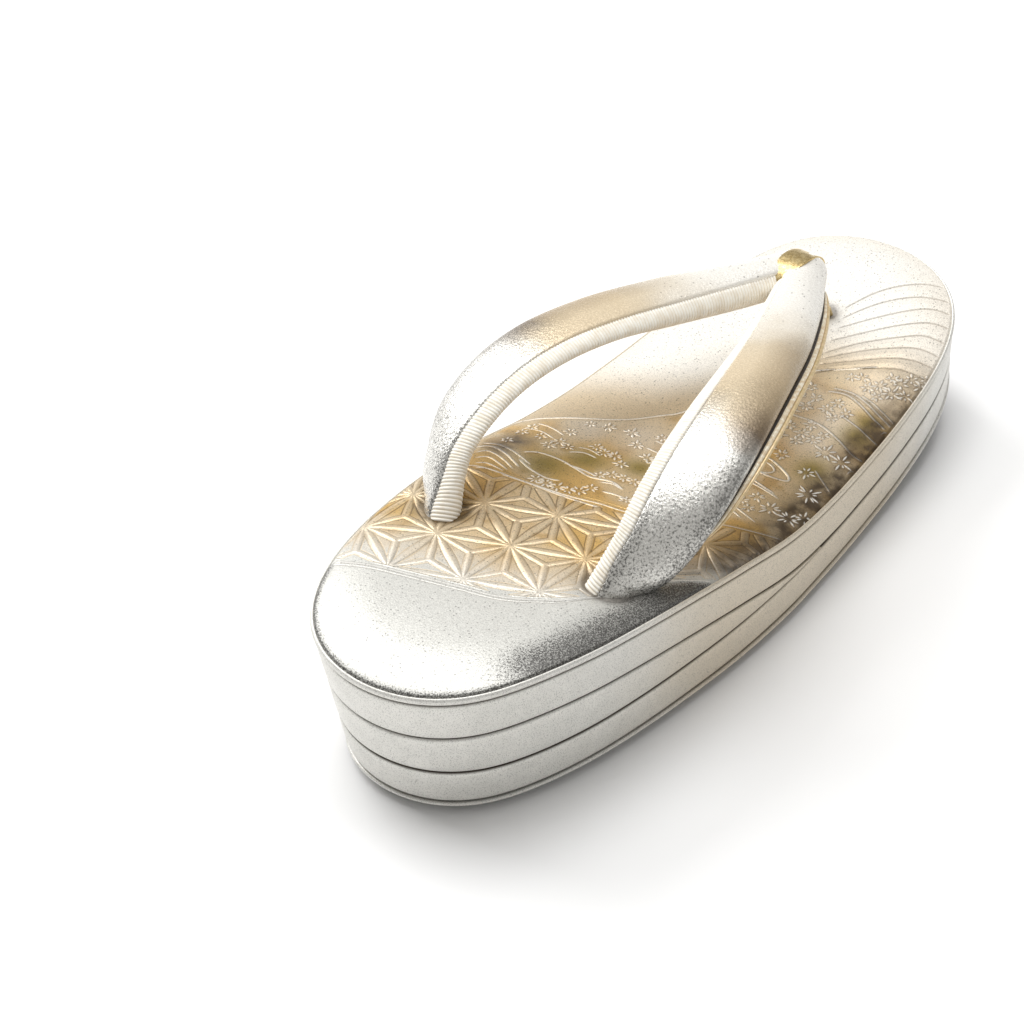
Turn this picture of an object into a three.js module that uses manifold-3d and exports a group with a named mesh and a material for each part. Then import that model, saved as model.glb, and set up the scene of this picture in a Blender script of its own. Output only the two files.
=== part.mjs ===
// A zori sandal: a layered wedge sole, a crowned footbed and two padded straps on a front loop.
// Millimetres. +Y runs to the toe, +X to the outer side, +Z up.
// The origin is on the floor, at the middle of the sandal's length and width.

import * as THREE from 'three';
import { mergeVertices } from 'three/addons/utils/BufferGeometryUtils.js';
import Module from 'manifold-3d';

const wasm = await Module();
wasm.setup();

// Driving sizes

const LENGTH = 240;
const GAP = 0.3;
const STEPS_PER_SIDE = 34;

// The outline's half width at a share s of the length, from the heel, is fullness times the root of
// s(1 - s). The other columns are heights: the floor clearance of the welt's underside, then the
// thickness of the lower layer, the wedge and the upper layer.
const SOLE_ROWS = [
  { share: 0.0, fullness: 128.0, clearance: 2.8, lower: 12.9, wedge: 12.4, upper: 12.8 },
  { share: 0.1, fullness: 108.7, clearance: 2.8, lower: 12.7, wedge: 13.4, upper: 12.5 },
  { share: 0.2, fullness: 98.5, clearance: 2.8, lower: 12.4, wedge: 12.3, upper: 12.1 },
  { share: 0.3, fullness: 92.7, clearance: 2.8, lower: 12.1, wedge: 9.9, upper: 11.7 },
  { share: 0.4, fullness: 90.2, clearance: 2.8, lower: 11.9, wedge: 6.4, upper: 11.3 },
  { share: 0.5, fullness: 88.3, clearance: 2.8, lower: 11.6, wedge: 1.7, upper: 11.0 },
  { share: 0.6, fullness: 87.8, clearance: 3.0, lower: 11.3, wedge: 0.0, upper: 10.7 },
  { share: 0.7, fullness: 90.6, clearance: 4.2, lower: 11.1, wedge: 0.0, upper: 10.3 },
  { share: 0.8, fullness: 98.5, clearance: 6.8, lower: 10.9, wedge: 0.0, upper: 10.0 },
  { share: 0.9, fullness: 114.0, clearance: 10.9, lower: 10.7, wedge: 0.0, upper: 9.6 },
  { share: 1.0, fullness: 139.0, clearance: 16.5, lower: 10.5, wedge: 0.0, upper: 9.2 },
];

// Each layer's side leans in below the footbed by this share of its depth, most at the heel.
const HEEL_LEAN = 0.16;
const LEAN_END_SHARE = 0.5;
const WEDGE_END_SHARE = 0.505;

// A layer's rounded edge, as rows of inset and distance from its bottom or top face.
const LAYER_EDGE = [
  { inset: 0.9, rise: 0.0 },
  { inset: 0.2, rise: 0.7 },
  { inset: 0.0, rise: 2.2 },
];

// The wedge's edge, as rows of inset and share of its thickness, and its least thickness.
const WEDGE_EDGE = [
  { inset: 0.9, depthShare: 0 },
  { inset: 0.2, depthShare: 0.07 },
  { inset: 0.0, depthShare: 0.2 },
  { inset: 0.0, depthShare: 0.8 },
  { inset: 0.2, depthShare: 0.93 },
  { inset: 0.9, depthShare: 1 },
];
const WEDGE_LEAST = 0.9;

const WELT_HEIGHT = 1.4;
const WELT_PROUD = 0.3;
const OUTSOLE_INSET = 3.6;
const OUTSOLE_CHAMFER = 0.8;

const BAND_HEIGHT = 2.3;
const BAND_BULGE = 0.4;
const CROWN_HEIGHT = 2.6;
const CROWN_REACH = 17;
const CROWN_POWER = 2.1;
const CROWN_INSETS = [0.7, 1.8, 3.6, 6.5, 10.5, 17];

// The outer strap, from its hole in the footbed to the front loop. Lean is the tilt of its leather
// face to the outer side, in degrees. The inner strap is its mirror image.
const STRAP_ROWS = [
  { x: 24.9, y: 60.4, z: 37.0, half: 5.6, thick: 4.6, lean: 50 },
  { x: 27.2, y: 65.0, z: 42.2, half: 6.6, thick: 4.4, lean: 46 },
  { x: 31.3, y: 72.1, z: 49.6, half: 9.0, thick: 3.8, lean: 32 },
  { x: 32.7, y: 82.5, z: 57.6, half: 10.4, thick: 3.5, lean: 18 },
  { x: 31.7, y: 95.6, z: 62.9, half: 10.7, thick: 3.4, lean: 10 },
  { x: 28.8, y: 111.2, z: 65.1, half: 10.4, thick: 3.4, lean: 4 },
  { x: 24.2, y: 128.8, z: 64.3, half: 9.8, thick: 3.5, lean: 0 },
  { x: 18.1, y: 147.9, z: 61.2, half: 9.1, thick: 4.3, lean: -3 },
  { x: 10.6, y: 167.7, z: 58.0, half: 7.9, thick: 5.0, lean: -4 },
  { x: 4.2, y: 182.5, z: 56.2, half: 6.5, thick: 5.2, lean: -4 },
  { x: 1.2, y: 189.2, z: 55.8, half: 6.0, thick: 5.2, lean: -4 },
];
const STRAP_FOOT = 40.4;
const STRAP_STEPS = 24;
const STRAP_TIP_ANGLES = [32, 60, 84];

// Where the leather meets the ribbed lining, as angles round the strap's section from its inner edge.
const INNER_SEAM = 52;
const OUTER_SEAM = 192;
const SEAM_GAP = 1.8;
const ARC_STEPS = 8;
const CHORD_STEPS = 5;
const OUTLINE_TURN = 20;

const PIPING_START = 0.3;
const PIPING_END = 0.9;
const PIPING_STEPS = 18;
const PIPING_WIDTH = 2.6;
const PIPING_HEIGHT = 1.3;

// The front loop wraps the joint of the straps and its stem runs down into the footbed.
const LOOP_WIDTH = 8.5;
const LOOP_WALL = 1.3;
const LOOP_TILT = 0.05;
const LOOP_SEGMENTS = 24;
const NOTCH_DEPTH = 1.6;
const NOTCH_WIDTH = 3;
const STEM_ROWS = [
  { y: 193.5, z: 50.9, wide: 3.4, deep: 2.4 },
  { y: 198.5, z: 46.5, wide: 2.9, deep: 2.3 },
  { y: 202.8, z: 40.5, wide: 2.6, deep: 2.3 },
  { y: 205.2, z: 35.5, wide: 2.5, deep: 2.4 },
  { y: 205.6, z: 31.8, wide: 2.5, deep: 2.4 },
];
const STEM_SIDES = 12;
const HOLE_CLEARANCE = 0.35;
const HOLE_SHARE = 0.2;
const HOLE_STEPS = 4;

// Numbers and curves

const radians = (degrees) => (degrees * Math.PI) / 180;
const mix = (a, b, share) => a + (b - a) * share;
const clamp01 = (value) => Math.min(1, Math.max(0, value));

// A smooth curve through a column of a table's rows, evenly spaced from 0 to 1.
function column(rows, name, share) {
  const place = clamp01(share) * (rows.length - 1);
  const i = Math.min(Math.floor(place), rows.length - 2);
  const u = place - i;
  const at = (k) => rows[Math.min(Math.max(k, 0), rows.length - 1)][name];
  const slopeIn = (at(i + 1) - at(i - 1)) / (i === 0 ? 1 : 2);
  const slopeOut = (at(i + 2) - at(i)) / (i === rows.length - 2 ? 1 : 2);
  const u2 = u * u;
  const u3 = u2 * u;
  const ends = (2 * u3 - 3 * u2 + 1) * at(i) + (3 * u2 - 2 * u3) * at(i + 1);
  const slopes = (u3 - 2 * u2 + u) * slopeIn + (u3 - u2) * slopeOut;
  return ends + slopes;
}

// The sole's heights at a share of the length

function levels(share) {
  const weltBottom = column(SOLE_ROWS, 'clearance', share);
  const lowerBottom = weltBottom + WELT_HEIGHT;
  const lowerTop = weltBottom + column(SOLE_ROWS, 'lower', share);
  const wedgeTop = lowerTop + Math.max(0, column(SOLE_ROWS, 'wedge', share));
  const upperTop = wedgeTop + column(SOLE_ROWS, 'upper', share);
  return { weltBottom, lowerBottom, lowerTop, wedgeTop, upperTop };
}

const level = (name, offset = 0) => (share) => levels(share)[name] + offset;

// The sole's outline

function halfWidth(share) {
  return Math.sqrt(share * (1 - share)) * column(SOLE_ROWS, 'fullness', share);
}

// A point of the right-hand outline and the direction that points out of it, in plan.
function edge(share) {
  const step = 1e-4;
  const before = clamp01(share - step);
  const after = clamp01(share + step);
  const point = new THREE.Vector2(halfWidth(share), share * LENGTH);
  if (share <= 0 || share >= 1) {
    return { point, out: new THREE.Vector2(0, share <= 0 ? -1 : 1) };
  }
  const dx = halfWidth(after) - halfWidth(before);
  const dy = (after - before) * LENGTH;
  return { point, out: new THREE.Vector2(dy, -dx).normalize() };
}

function lean(share, depth) {
  return HEEL_LEAN * Math.max(0, 1 - share / LEAN_END_SHARE) * depth;
}

// A ring round the sole: heel, right side, toe, left side. Its height is read where each point lies.
function ring(inset, height, endShare = 1) {
  const right = [];
  for (let i = 0; i <= STEPS_PER_SIDE; i += 1) {
    const share = (endShare * (1 - Math.cos((Math.PI * i) / STEPS_PER_SIDE))) / 2;
    const { point, out } = edge(share);
    const top = levels(share).upperTop;
    const depth = Math.max(0, top - height(share));
    const pull = inset + lean(share, depth);
    const y = point.y - pull * out.y;
    const z = height(clamp01(y / LENGTH));
    right.push(new THREE.Vector3(Math.max(0, point.x - pull * out.x), y, z));
  }
  const left = right.slice(1, -1).reverse();
  return [...right, ...left.map((p) => new THREE.Vector3(-p.x, p.y, p.z))];
}

// Closed meshes

function geometryOf(positions, indices) {
  const geometry = new THREE.BufferGeometry();
  geometry.setAttribute('position', new THREE.Float32BufferAttribute(positions, 3));
  geometry.setIndex(indices);
  return geometry;
}

function flatten(points) {
  return points.flatMap((p) => [p.x, p.y, p.z]);
}

// Skins rings laid one above the other and closes both ends with strips across the sole.
function loftSole(rings) {
  const count = rings[0].length;
  const half = count / 2;
  const indices = [];
  for (let r = 0; r < rings.length - 1; r += 1) {
    for (let i = 0; i < count; i += 1) {
      const j = (i + 1) % count;
      const a = r * count;
      const b = a + count;
      indices.push(a + i, a + j, b + j, a + i, b + j, b + i);
    }
  }
  const cap = (base, up) => {
    const face = (a, b, c) => indices.push(base + a, base + (up ? b : c), base + (up ? c : b));
    for (let i = 0; i < half; i += 1) {
      const near = (count - i) % count;
      const far = count - i - 1;
      face(i, i + 1, far);
      face(i, far, near);
    }
  };
  cap(0, false);
  cap((rings.length - 1) * count, true);
  return outward(geometryOf(flatten(rings.flat()), withoutEmpty(indices)));
}

// At the heel and toe a strip ends in a point, so one of its triangles is empty.
function withoutEmpty(indices) {
  const kept = [];
  for (let i = 0; i < indices.length; i += 3) {
    const [a, b, c] = indices.slice(i, i + 3);
    if (a !== b && b !== c && c !== a) {
      kept.push(a, b, c);
    }
  }
  return kept;
}

// Skins closed sections along a path and closes both ends with a fan round their middle.
function loftTube(sections) {
  const count = sections[0].length;
  const points = sections.flat();
  const indices = [];
  for (let s = 0; s < sections.length - 1; s += 1) {
    for (let i = 0; i < count; i += 1) {
      const j = (i + 1) % count;
      const a = s * count;
      const b = a + count;
      indices.push(a + i, a + j, b + j, a + i, b + j, b + i);
    }
  }
  const close = (start, reverse) => {
    const middle = new THREE.Vector3();
    for (let i = 0; i < count; i += 1) {
      middle.add(points[start + i]);
    }
    points.push(middle.divideScalar(count));
    const hub = points.length - 1;
    for (let i = 0; i < count; i += 1) {
      const a = start + i;
      const b = start + ((i + 1) % count);
      indices.push(hub, reverse ? b : a, reverse ? a : b);
    }
  };
  close(0, true);
  close((sections.length - 1) * count, false);
  return outward(geometryOf(flatten(points), indices));
}

// Skins closed sections that follow each other round a ring.
function loftRing(sections) {
  const count = sections[0].length;
  const indices = [];
  for (let s = 0; s < sections.length; s += 1) {
    for (let i = 0; i < count; i += 1) {
      const j = (i + 1) % count;
      const a = s * count;
      const b = ((s + 1) % sections.length) * count;
      indices.push(a + i, a + j, b + j, a + i, b + j, b + i);
    }
  }
  return outward(geometryOf(flatten(sections.flat()), indices));
}

// Turns a closed mesh's faces over when they point in.
function outward(geometry) {
  const position = geometry.getAttribute('position');
  const index = geometry.getIndex().array;
  const corner = (k) => new THREE.Vector3().fromBufferAttribute(position, index[k]);
  let volume = 0;
  for (let i = 0; i < index.length; i += 3) {
    volume += corner(i).dot(corner(i + 1).cross(corner(i + 2)));
  }
  if (volume < 0) {
    for (let i = 0; i < index.length; i += 3) {
      [index[i], index[i + 1]] = [index[i + 1], index[i]];
    }
  }
  return geometry;
}

// Joins and cuts

function solid(geometry) {
  const bare = geometry.clone();
  bare.deleteAttribute('normal');
  bare.deleteAttribute('uv');
  const merged = mergeVertices(bare, 1e-4);
  return new wasm.Manifold(new wasm.Mesh({
    numProp: 3,
    vertProperties: new Float32Array(merged.getAttribute('position').array),
    triVerts: new Uint32Array(merged.getIndex().array),
  }));
}

function meshOf(body) {
  const mesh = body.getMesh();
  return geometryOf(mesh.vertProperties, Array.from(mesh.triVerts));
}

function mirrored(geometry) {
  const copy = geometry.clone();
  copy.scale(-1, 1, 1);
  return outward(copy);
}

// The part of a right-hand piece that lies right of the middle plane and above a height.
function rightHalf(geometry, foot) {
  const reach = 2 * LENGTH;
  const room = new THREE.BoxGeometry(reach, reach, reach);
  room.translate(reach / 2, LENGTH / 2, reach / 2 + foot);
  return solid(geometry).intersect(solid(room));
}

function joinedPair(geometry) {
  const half = rightHalf(geometry, STRAP_FOOT);
  return meshOf(half.add(solid(mirrored(meshOf(half)))));
}

// Straps

function strapFrame(share) {
  const at = (s) => new THREE.Vector3(
    column(STRAP_ROWS, 'x', s),
    column(STRAP_ROWS, 'y', s),
    column(STRAP_ROWS, 'z', s),
  );
  const step = 0.004;
  const centre = at(share);
  const along = at(clamp01(share + step)).sub(at(clamp01(share - step))).normalize();
  const tilt = radians(column(STRAP_ROWS, 'lean', share));
  const face = new THREE.Vector3(Math.sin(tilt), 0, Math.cos(tilt));
  face.addScaledVector(along, -face.dot(along)).normalize();
  const inner = new THREE.Vector3().crossVectors(face, along);
  const half = column(STRAP_ROWS, 'half', share);
  const thick = column(STRAP_ROWS, 'thick', share);
  return { centre, along, face, inner, half, thick };
}

function strapPoint(frame, angle, grow = 0) {
  const turn = radians(angle);
  return frame.centre.clone()
    .addScaledVector(frame.inner, (frame.half + grow) * Math.cos(turn))
    .addScaledVector(frame.face, (frame.thick + grow) * Math.sin(turn));
}

function strapOutline(frame, grow) {
  const points = [];
  for (let angle = 0; angle < 360; angle += OUTLINE_TURN) {
    points.push(strapPoint(frame, angle, grow));
  }
  return points;
}

// The frames along a strap, with a rounded tip past its last row.
function strapFrames() {
  const frames = [];
  for (let i = 0; i <= STRAP_STEPS; i += 1) {
    frames.push(strapFrame(i / STRAP_STEPS));
  }
  const end = frames[frames.length - 1];
  for (const angle of STRAP_TIP_ANGLES) {
    const shrink = Math.cos(radians(angle));
    const centre = end.centre.clone().addScaledVector(end.along, end.half * Math.sin(radians(angle)));
    frames.push({ ...end, centre, half: end.half * shrink, thick: end.thick * shrink });
  }
  return frames;
}

// The slice of the strap's section between two seams, closed by a straight line.
function strapSlice(from, to) {
  return loftTube(strapFrames().map((frame) => {
    const points = [];
    for (let i = 0; i <= ARC_STEPS; i += 1) {
      points.push(strapPoint(frame, mix(from, to, i / ARC_STEPS)));
    }
    const first = points[0];
    const last = points[ARC_STEPS];
    for (let i = 1; i < CHORD_STEPS; i += 1) {
      points.push(last.clone().lerp(first, i / CHORD_STEPS));
    }
    return points;
  }));
}

const leatherSlice = () => strapSlice(INNER_SEAM + SEAM_GAP, OUTER_SEAM - SEAM_GAP);
const liningSlice = () => strapSlice(OUTER_SEAM + SEAM_GAP, INNER_SEAM + 360 - SEAM_GAP);

// The room that a strap's end takes in the footbed.
function strapHole() {
  const sections = [];
  for (let i = 0; i <= HOLE_STEPS; i += 1) {
    const frame = strapFrame((HOLE_SHARE * i) / HOLE_STEPS);
    sections.push(strapOutline(frame, HOLE_CLEARANCE));
  }
  return meshOf(rightHalf(loftTube(sections), STRAP_FOOT - HOLE_CLEARANCE));
}

// The strip sewn into a strap's outer seam

function piping() {
  const sections = [];
  for (let i = 0; i <= PIPING_STEPS; i += 1) {
    const share = mix(PIPING_START, PIPING_END, i / PIPING_STEPS);
    const frame = strapFrame(share);
    const taper = Math.min(1, 0.35 + 6 * Math.min(i, PIPING_STEPS - i) / PIPING_STEPS);
    const root = strapPoint(frame, OUTER_SEAM + 6, GAP + 0.1);
    const outer = frame.inner.clone().negate();
    const down = frame.face.clone().negate();
    const wide = PIPING_WIDTH * taper;
    const corner = (across, below) => root.clone()
      .addScaledVector(outer, across * wide)
      .addScaledVector(down, below * PIPING_HEIGHT);
    sections.push([
      corner(0, 0.1),
      corner(0.45, -0.1),
      corner(0.85, 0.1),
      corner(1, 0.5),
      corner(0.85, 0.9),
      corner(0.45, 1.0),
      corner(0, 0.9),
    ]);
  }
  return loftTube(sections);
}

// The front loop

// Where the straps' inner edges meet in the middle plane.
function notch() {
  const count = 400;
  for (let i = count / 2; i <= count; i += 1) {
    const edgePoint = strapPoint(strapFrame(i / count), 0);
    if (edgePoint.x <= 0) {
      return edgePoint.y;
    }
  }
  return STRAP_ROWS[STRAP_ROWS.length - 1].y;
}

// A band round the joint, as wide as the loop on top and squeezed into the notch behind it.
function loopBand() {
  const front = STRAP_ROWS[STRAP_ROWS.length - 1];
  const back = notch() - NOTCH_DEPTH;
  const tip = front.y + front.half;
  const middle = (back + tip) / 2;
  const reach = (tip - back) / 2;
  const sections = [];
  for (let i = 0; i < LOOP_SEGMENTS; i += 1) {
    const turn = (2 * Math.PI * i) / LOOP_SEGMENTS;
    const squeeze = Math.max(0, -Math.cos(turn)) ** 2;
    const half = mix(LOOP_WIDTH, NOTCH_WIDTH, squeeze) / 2;
    const corner = (x, grow) => {
      const y = middle + (reach + grow) * Math.cos(turn);
      const z = front.z + (front.thick + grow) * Math.sin(turn) - LOOP_TILT * (y - middle);
      return new THREE.Vector3(x, y, z);
    };
    const outer = GAP + LOOP_WALL;
    sections.push([corner(-half, GAP), corner(half, GAP), corner(half, outer), corner(-half, outer)]);
  }
  return loftRing(sections);
}

function stem(grow = 0, sink = 0) {
  const last = STEM_ROWS.length - 1;
  return loftTube(STEM_ROWS.map((row, r) => {
    const points = [];
    for (let i = 0; i < STEM_SIDES; i += 1) {
      const turn = (2 * Math.PI * i) / STEM_SIDES;
      const x = (row.wide + grow) * Math.cos(turn);
      const y = row.y + (row.deep + grow) * Math.sin(turn);
      points.push(new THREE.Vector3(x, y, row.z - (r === last ? sink : 0)));
    }
    return points;
  }));
}

function frontLoop() {
  return meshOf(solid(loopBand()).add(solid(stem())).subtract(strapsRoom()));
}

// The strap's whole form, grown a little, so that the loop clears it.
function strapsRoom() {
  const right = loftTube(strapFrames().map((frame) => strapOutline(frame, GAP)));
  return solid(right).add(solid(mirrored(right)));
}

// Sole pieces

function layer(bottomName, topName) {
  const rings = [];
  for (const { inset, rise } of LAYER_EDGE) {
    rings.push(ring(inset, level(bottomName, GAP / 2 + rise)));
  }
  for (const { inset, rise } of [...LAYER_EDGE].reverse()) {
    rings.push(ring(inset, level(topName, -GAP / 2 - rise)));
  }
  return loftSole(rings);
}

// The wedge thins towards the toe, so its rounded edges shrink with it.
function wedge() {
  const heightAt = (depthShare) => (share) => {
    const { lowerTop, wedgeTop } = levels(share);
    const bottom = lowerTop + GAP / 2;
    const top = Math.max(wedgeTop, lowerTop + WEDGE_LEAST) - GAP / 2;
    return mix(bottom, top, depthShare);
  };
  return loftSole(WEDGE_EDGE.map((row) => ring(row.inset, heightAt(row.depthShare), WEDGE_END_SHARE)));
}

function outsole() {
  const top = level('weltBottom', -GAP);
  const flatLevel = (share) => Math.max(0, levels(share).weltBottom - SOLE_ROWS[0].clearance);
  return loftSole([
    ring(OUTSOLE_INSET + OUTSOLE_CHAMFER, flatLevel),
    ring(OUTSOLE_INSET, (share) => flatLevel(share) + OUTSOLE_CHAMFER),
    ring(OUTSOLE_INSET, top),
  ]);
}

function welt() {
  return loftSole([
    ring(0.1, level('weltBottom')),
    ring(-WELT_PROUD, level('weltBottom', 0.35)),
    ring(-WELT_PROUD, level('lowerBottom', -GAP - 0.35)),
    ring(0.1, level('lowerBottom', -GAP)),
  ]);
}

function footbedBlank() {
  const crown = (inset) => {
    const rest = 1 - Math.min(1, inset / CROWN_REACH);
    return CROWN_HEIGHT * (1 - rest ** CROWN_POWER);
  };
  const rings = [
    ring(0.5, level('upperTop', GAP / 2)),
    ring(-BAND_BULGE + 0.1, level('upperTop', GAP / 2 + 0.4)),
    ring(-BAND_BULGE, level('upperTop', BAND_HEIGHT / 2)),
    ring(-BAND_BULGE + 0.3, level('upperTop', BAND_HEIGHT - 0.3)),
  ];
  for (const inset of CROWN_INSETS) {
    rings.push(ring(inset, level('upperTop', BAND_HEIGHT + crown(inset))));
  }
  return loftSole(rings);
}

function footbed() {
  const rightHole = strapHole();
  return meshOf(solid(footbedBlank())
    .subtract(solid(rightHole))
    .subtract(solid(mirrored(rightHole)))
    .subtract(solid(stem(HOLE_CLEARANCE, HOLE_CLEARANCE))));
}

// Materials

const LOOKS = {
  sideLeather: { color: 0xcfcdc8, roughness: 0.5, metalness: 0.45 },
  coverLeather: { color: 0xcdbb98, roughness: 0.45, metalness: 0.5 },
  strapLeather: { color: 0xdcd8d0, roughness: 0.38, metalness: 0.5 },
  ribbedLining: { color: 0xe9e0cb, roughness: 0.9, metalness: 0 },
  pipingLeather: { color: 0xf0ead8, roughness: 0.5, metalness: 0.1 },
  goldLeather: { color: 0xb59a60, roughness: 0.4, metalness: 0.6 },
  weltLeather: { color: 0xc4c2bd, roughness: 0.5, metalness: 0.45 },
  outsoleRubber: { color: 0x2b2926, roughness: 0.85, metalness: 0 },
};

// The sandal

const sandal = new THREE.Group();
sandal.name = 'zori_sandal';

function add(name, geometry, look) {
  const piece = new THREE.Mesh(geometry, new THREE.MeshStandardMaterial(LOOKS[look]));
  piece.name = name;
  piece.position.y = -LENGTH / 2;
  sandal.add(piece);
}

add('outsole', outsole(), 'outsoleRubber');
add('welt', welt(), 'weltLeather');
add('lower_layer', layer('lowerBottom', 'lowerTop'), 'sideLeather');
add('wedge_layer', wedge(), 'sideLeather');
add('upper_layer', layer('wedgeTop', 'upperTop'), 'sideLeather');
add('footbed', footbed(), 'coverLeather');
add('straps', joinedPair(leatherSlice()), 'strapLeather');
add('strap_lining', joinedPair(liningSlice()), 'ribbedLining');
add('piping_right', piping(), 'pipingLeather');
add('piping_left', mirrored(piping()), 'pipingLeather');
add('front_loop', frontLoop(), 'goldLeather');

export default sandal;
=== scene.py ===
"""The look of the zori sandal: leather, embossing, ribs, floor, light and camera."""

import math

import bmesh
import bpy
import numpy as np
from mathutils import Matrix, Vector


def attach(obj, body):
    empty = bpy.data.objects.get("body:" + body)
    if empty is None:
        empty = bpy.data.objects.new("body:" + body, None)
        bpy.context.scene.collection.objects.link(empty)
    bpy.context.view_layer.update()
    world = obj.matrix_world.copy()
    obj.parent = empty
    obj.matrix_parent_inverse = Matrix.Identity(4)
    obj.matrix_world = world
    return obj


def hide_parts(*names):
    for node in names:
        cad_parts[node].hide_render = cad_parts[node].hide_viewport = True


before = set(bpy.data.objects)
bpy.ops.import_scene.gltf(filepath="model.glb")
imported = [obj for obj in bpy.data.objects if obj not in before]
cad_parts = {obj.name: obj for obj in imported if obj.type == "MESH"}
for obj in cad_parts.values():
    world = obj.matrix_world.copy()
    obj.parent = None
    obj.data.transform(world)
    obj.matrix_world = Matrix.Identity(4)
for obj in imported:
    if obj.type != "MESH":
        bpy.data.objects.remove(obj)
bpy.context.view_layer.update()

# Sizes are in millimetres with y from the heel, as in the part's source. Meshes are made in metres
# with y from the middle of the length.

LENGTH = 240.0
MM = 0.001


def add_object(name, data):
    found = bpy.data.objects.new(name, data)
    bpy.context.scene.collection.objects.link(found)
    return found


# Camera, solved on the photograph's sole lines

CAMERA_PLACE = np.array([303.012, -429.509, 434.455])
CAMERA_RIGHT = np.array([0.78982462, 0.61226724, -0.03613715])
CAMERA_UP = np.array([-0.35885195, 0.50909384, 0.78233544])
CAMERA_BACK = np.array([0.49739556, -0.6049399, 0.62180815])
IMAGE_SIZE = 1024
FOCAL_PIXELS = 2484.36
SENSOR = 36.0

camera_data = bpy.data.cameras.new("camera")
camera_data.sensor_width = SENSOR
camera_data.lens = FOCAL_PIXELS * SENSOR / IMAGE_SIZE
camera_data.clip_start = 0.01
camera = add_object("camera", camera_data)
turn = Matrix((CAMERA_RIGHT, CAMERA_UP, CAMERA_BACK)).transposed().to_4x4()
camera.matrix_world = Matrix.Translation(Vector(CAMERA_PLACE * MM)) @ turn
bpy.context.scene.camera = camera

# Sole table

# Each row gives its values at every tenth of the length, from the heel to the toe
SOLE = {
    "fullness": (128.0, 108.7, 98.5, 92.7, 90.2, 88.3, 87.8, 90.6, 98.5, 114.0, 139.0),
    "clearance": (2.8, 2.8, 2.8, 2.8, 2.8, 2.8, 3.0, 4.2, 6.8, 10.9, 16.5),
    "lower": (12.9, 12.7, 12.4, 12.1, 11.9, 11.6, 11.3, 11.1, 10.9, 10.7, 10.5),
    "wedge": (12.4, 13.4, 12.3, 9.9, 6.4, 1.7, 0.0, 0.0, 0.0, 0.0, 0.0),
    "upper": (12.8, 12.5, 12.1, 11.7, 11.3, 11.0, 10.7, 10.3, 10.0, 9.6, 9.2),
}
WELT_HEIGHT = 1.4
HEEL_LEAN = 0.16
LEAN_END_SHARE = 0.5
WEDGE_END_SHARE = 0.56
GAP = 0.3

# Strap table

# Each row gives its values at eleven even steps of the outer strap, from its hole to the front loop.
# The lean is in degrees.
STRAP = {
    "x": (24.9, 27.2, 31.3, 32.7, 31.7, 28.8, 24.2, 18.1, 10.6, 4.2, 1.2),
    "y": (60.4, 65.0, 72.1, 82.5, 95.6, 111.2, 128.8, 147.9, 167.7, 182.5, 189.2),
    "z": (37.0, 42.2, 49.6, 57.6, 62.9, 65.1, 64.3, 61.2, 58.0, 56.2, 55.8),
    "half": (5.6, 6.6, 9.0, 10.4, 10.7, 10.4, 9.8, 9.1, 7.9, 6.5, 6.0),
    "thick": (4.6, 4.4, 3.8, 3.5, 3.4, 3.4, 3.5, 4.3, 5.0, 5.2, 5.2),
    "lean": (50, 46, 32, 18, 10, 4, 0, -3, -4, -4, -4),
}


def column(values, share):
    """A smooth curve through evenly spaced values, read at shares from 0 to 1."""
    rows = np.asarray(values, float)
    share = np.clip(np.asarray(share, float), 0, 1)
    last = len(rows) - 1
    place = share * last
    i = np.minimum(np.floor(place).astype(int), last - 1)
    u = place - i
    at = lambda k: rows[np.clip(k, 0, last)]
    slope_in = (at(i + 1) - at(i - 1)) / np.where(i == 0, 1, 2)
    slope_out = (at(i + 2) - at(i)) / np.where(i == last - 1, 1, 2)
    ends = (2 * u**3 - 3 * u**2 + 1) * at(i) + (3 * u**2 - 2 * u**3) * at(i + 1)
    return ends + (u**3 - 2 * u**2 + u) * slope_in + (u**3 - u**2) * slope_out


def smooth(low, high, value):
    """0 below low, 1 above high and a soft step between."""
    u = np.clip((value - low) / (high - low), 0, 1)
    return u * u * (3 - 2 * u)


def fade(low, high, value):
    """1 below low, 0 above high and a soft step between."""
    return 1 - smooth(low, high, value)


# Sole form

def levels(share):
    """Heights of the sole's seams at shares of the length."""
    welt = column(SOLE["clearance"], share)
    lower_top = welt + column(SOLE["lower"], share)
    wedge_top = lower_top + np.maximum(0, column(SOLE["wedge"], share))
    upper_top = wedge_top + column(SOLE["upper"], share)
    return {"welt": welt, "lower": welt + WELT_HEIGHT, "lower_top": lower_top,
            "wedge_top": wedge_top, "upper_top": upper_top}


def half_width(share):
    share = np.clip(share, 0, 1)
    return np.sqrt(share * (1 - share)) * column(SOLE["fullness"], share)


def outline(share):
    """Points of the right-hand outline and the directions that point out of it, in plan."""
    share = np.asarray(share, float)
    step = 1e-4
    before, after = np.clip(share - step, 0, 1), np.clip(share + step, 0, 1)
    dx = half_width(after) - half_width(before)
    dy = (after - before) * LENGTH
    size = np.hypot(dx, dy)
    out = np.stack([dy / size, -dx / size], -1)
    out[share <= 0] = (0, -1)
    out[share >= 1] = (0, 1)
    return np.stack([half_width(share), share * LENGTH], -1), out


def side_ring(shares, inset, height):
    """The right half of a ring round the sole, moved in by inset, at height(share)."""
    point, out = outline(shares)
    depth = np.maximum(0, levels(shares)["upper_top"] - height(shares))
    lean = HEEL_LEAN * np.maximum(0, 1 - shares / LEAN_END_SHARE) * depth
    moved = point - (inset + lean)[:, None] * out
    z = height(np.clip(moved[:, 1] / LENGTH, 0, 1))
    return np.stack([np.maximum(0, moved[:, 0]), moved[:, 1], z], -1)


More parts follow.
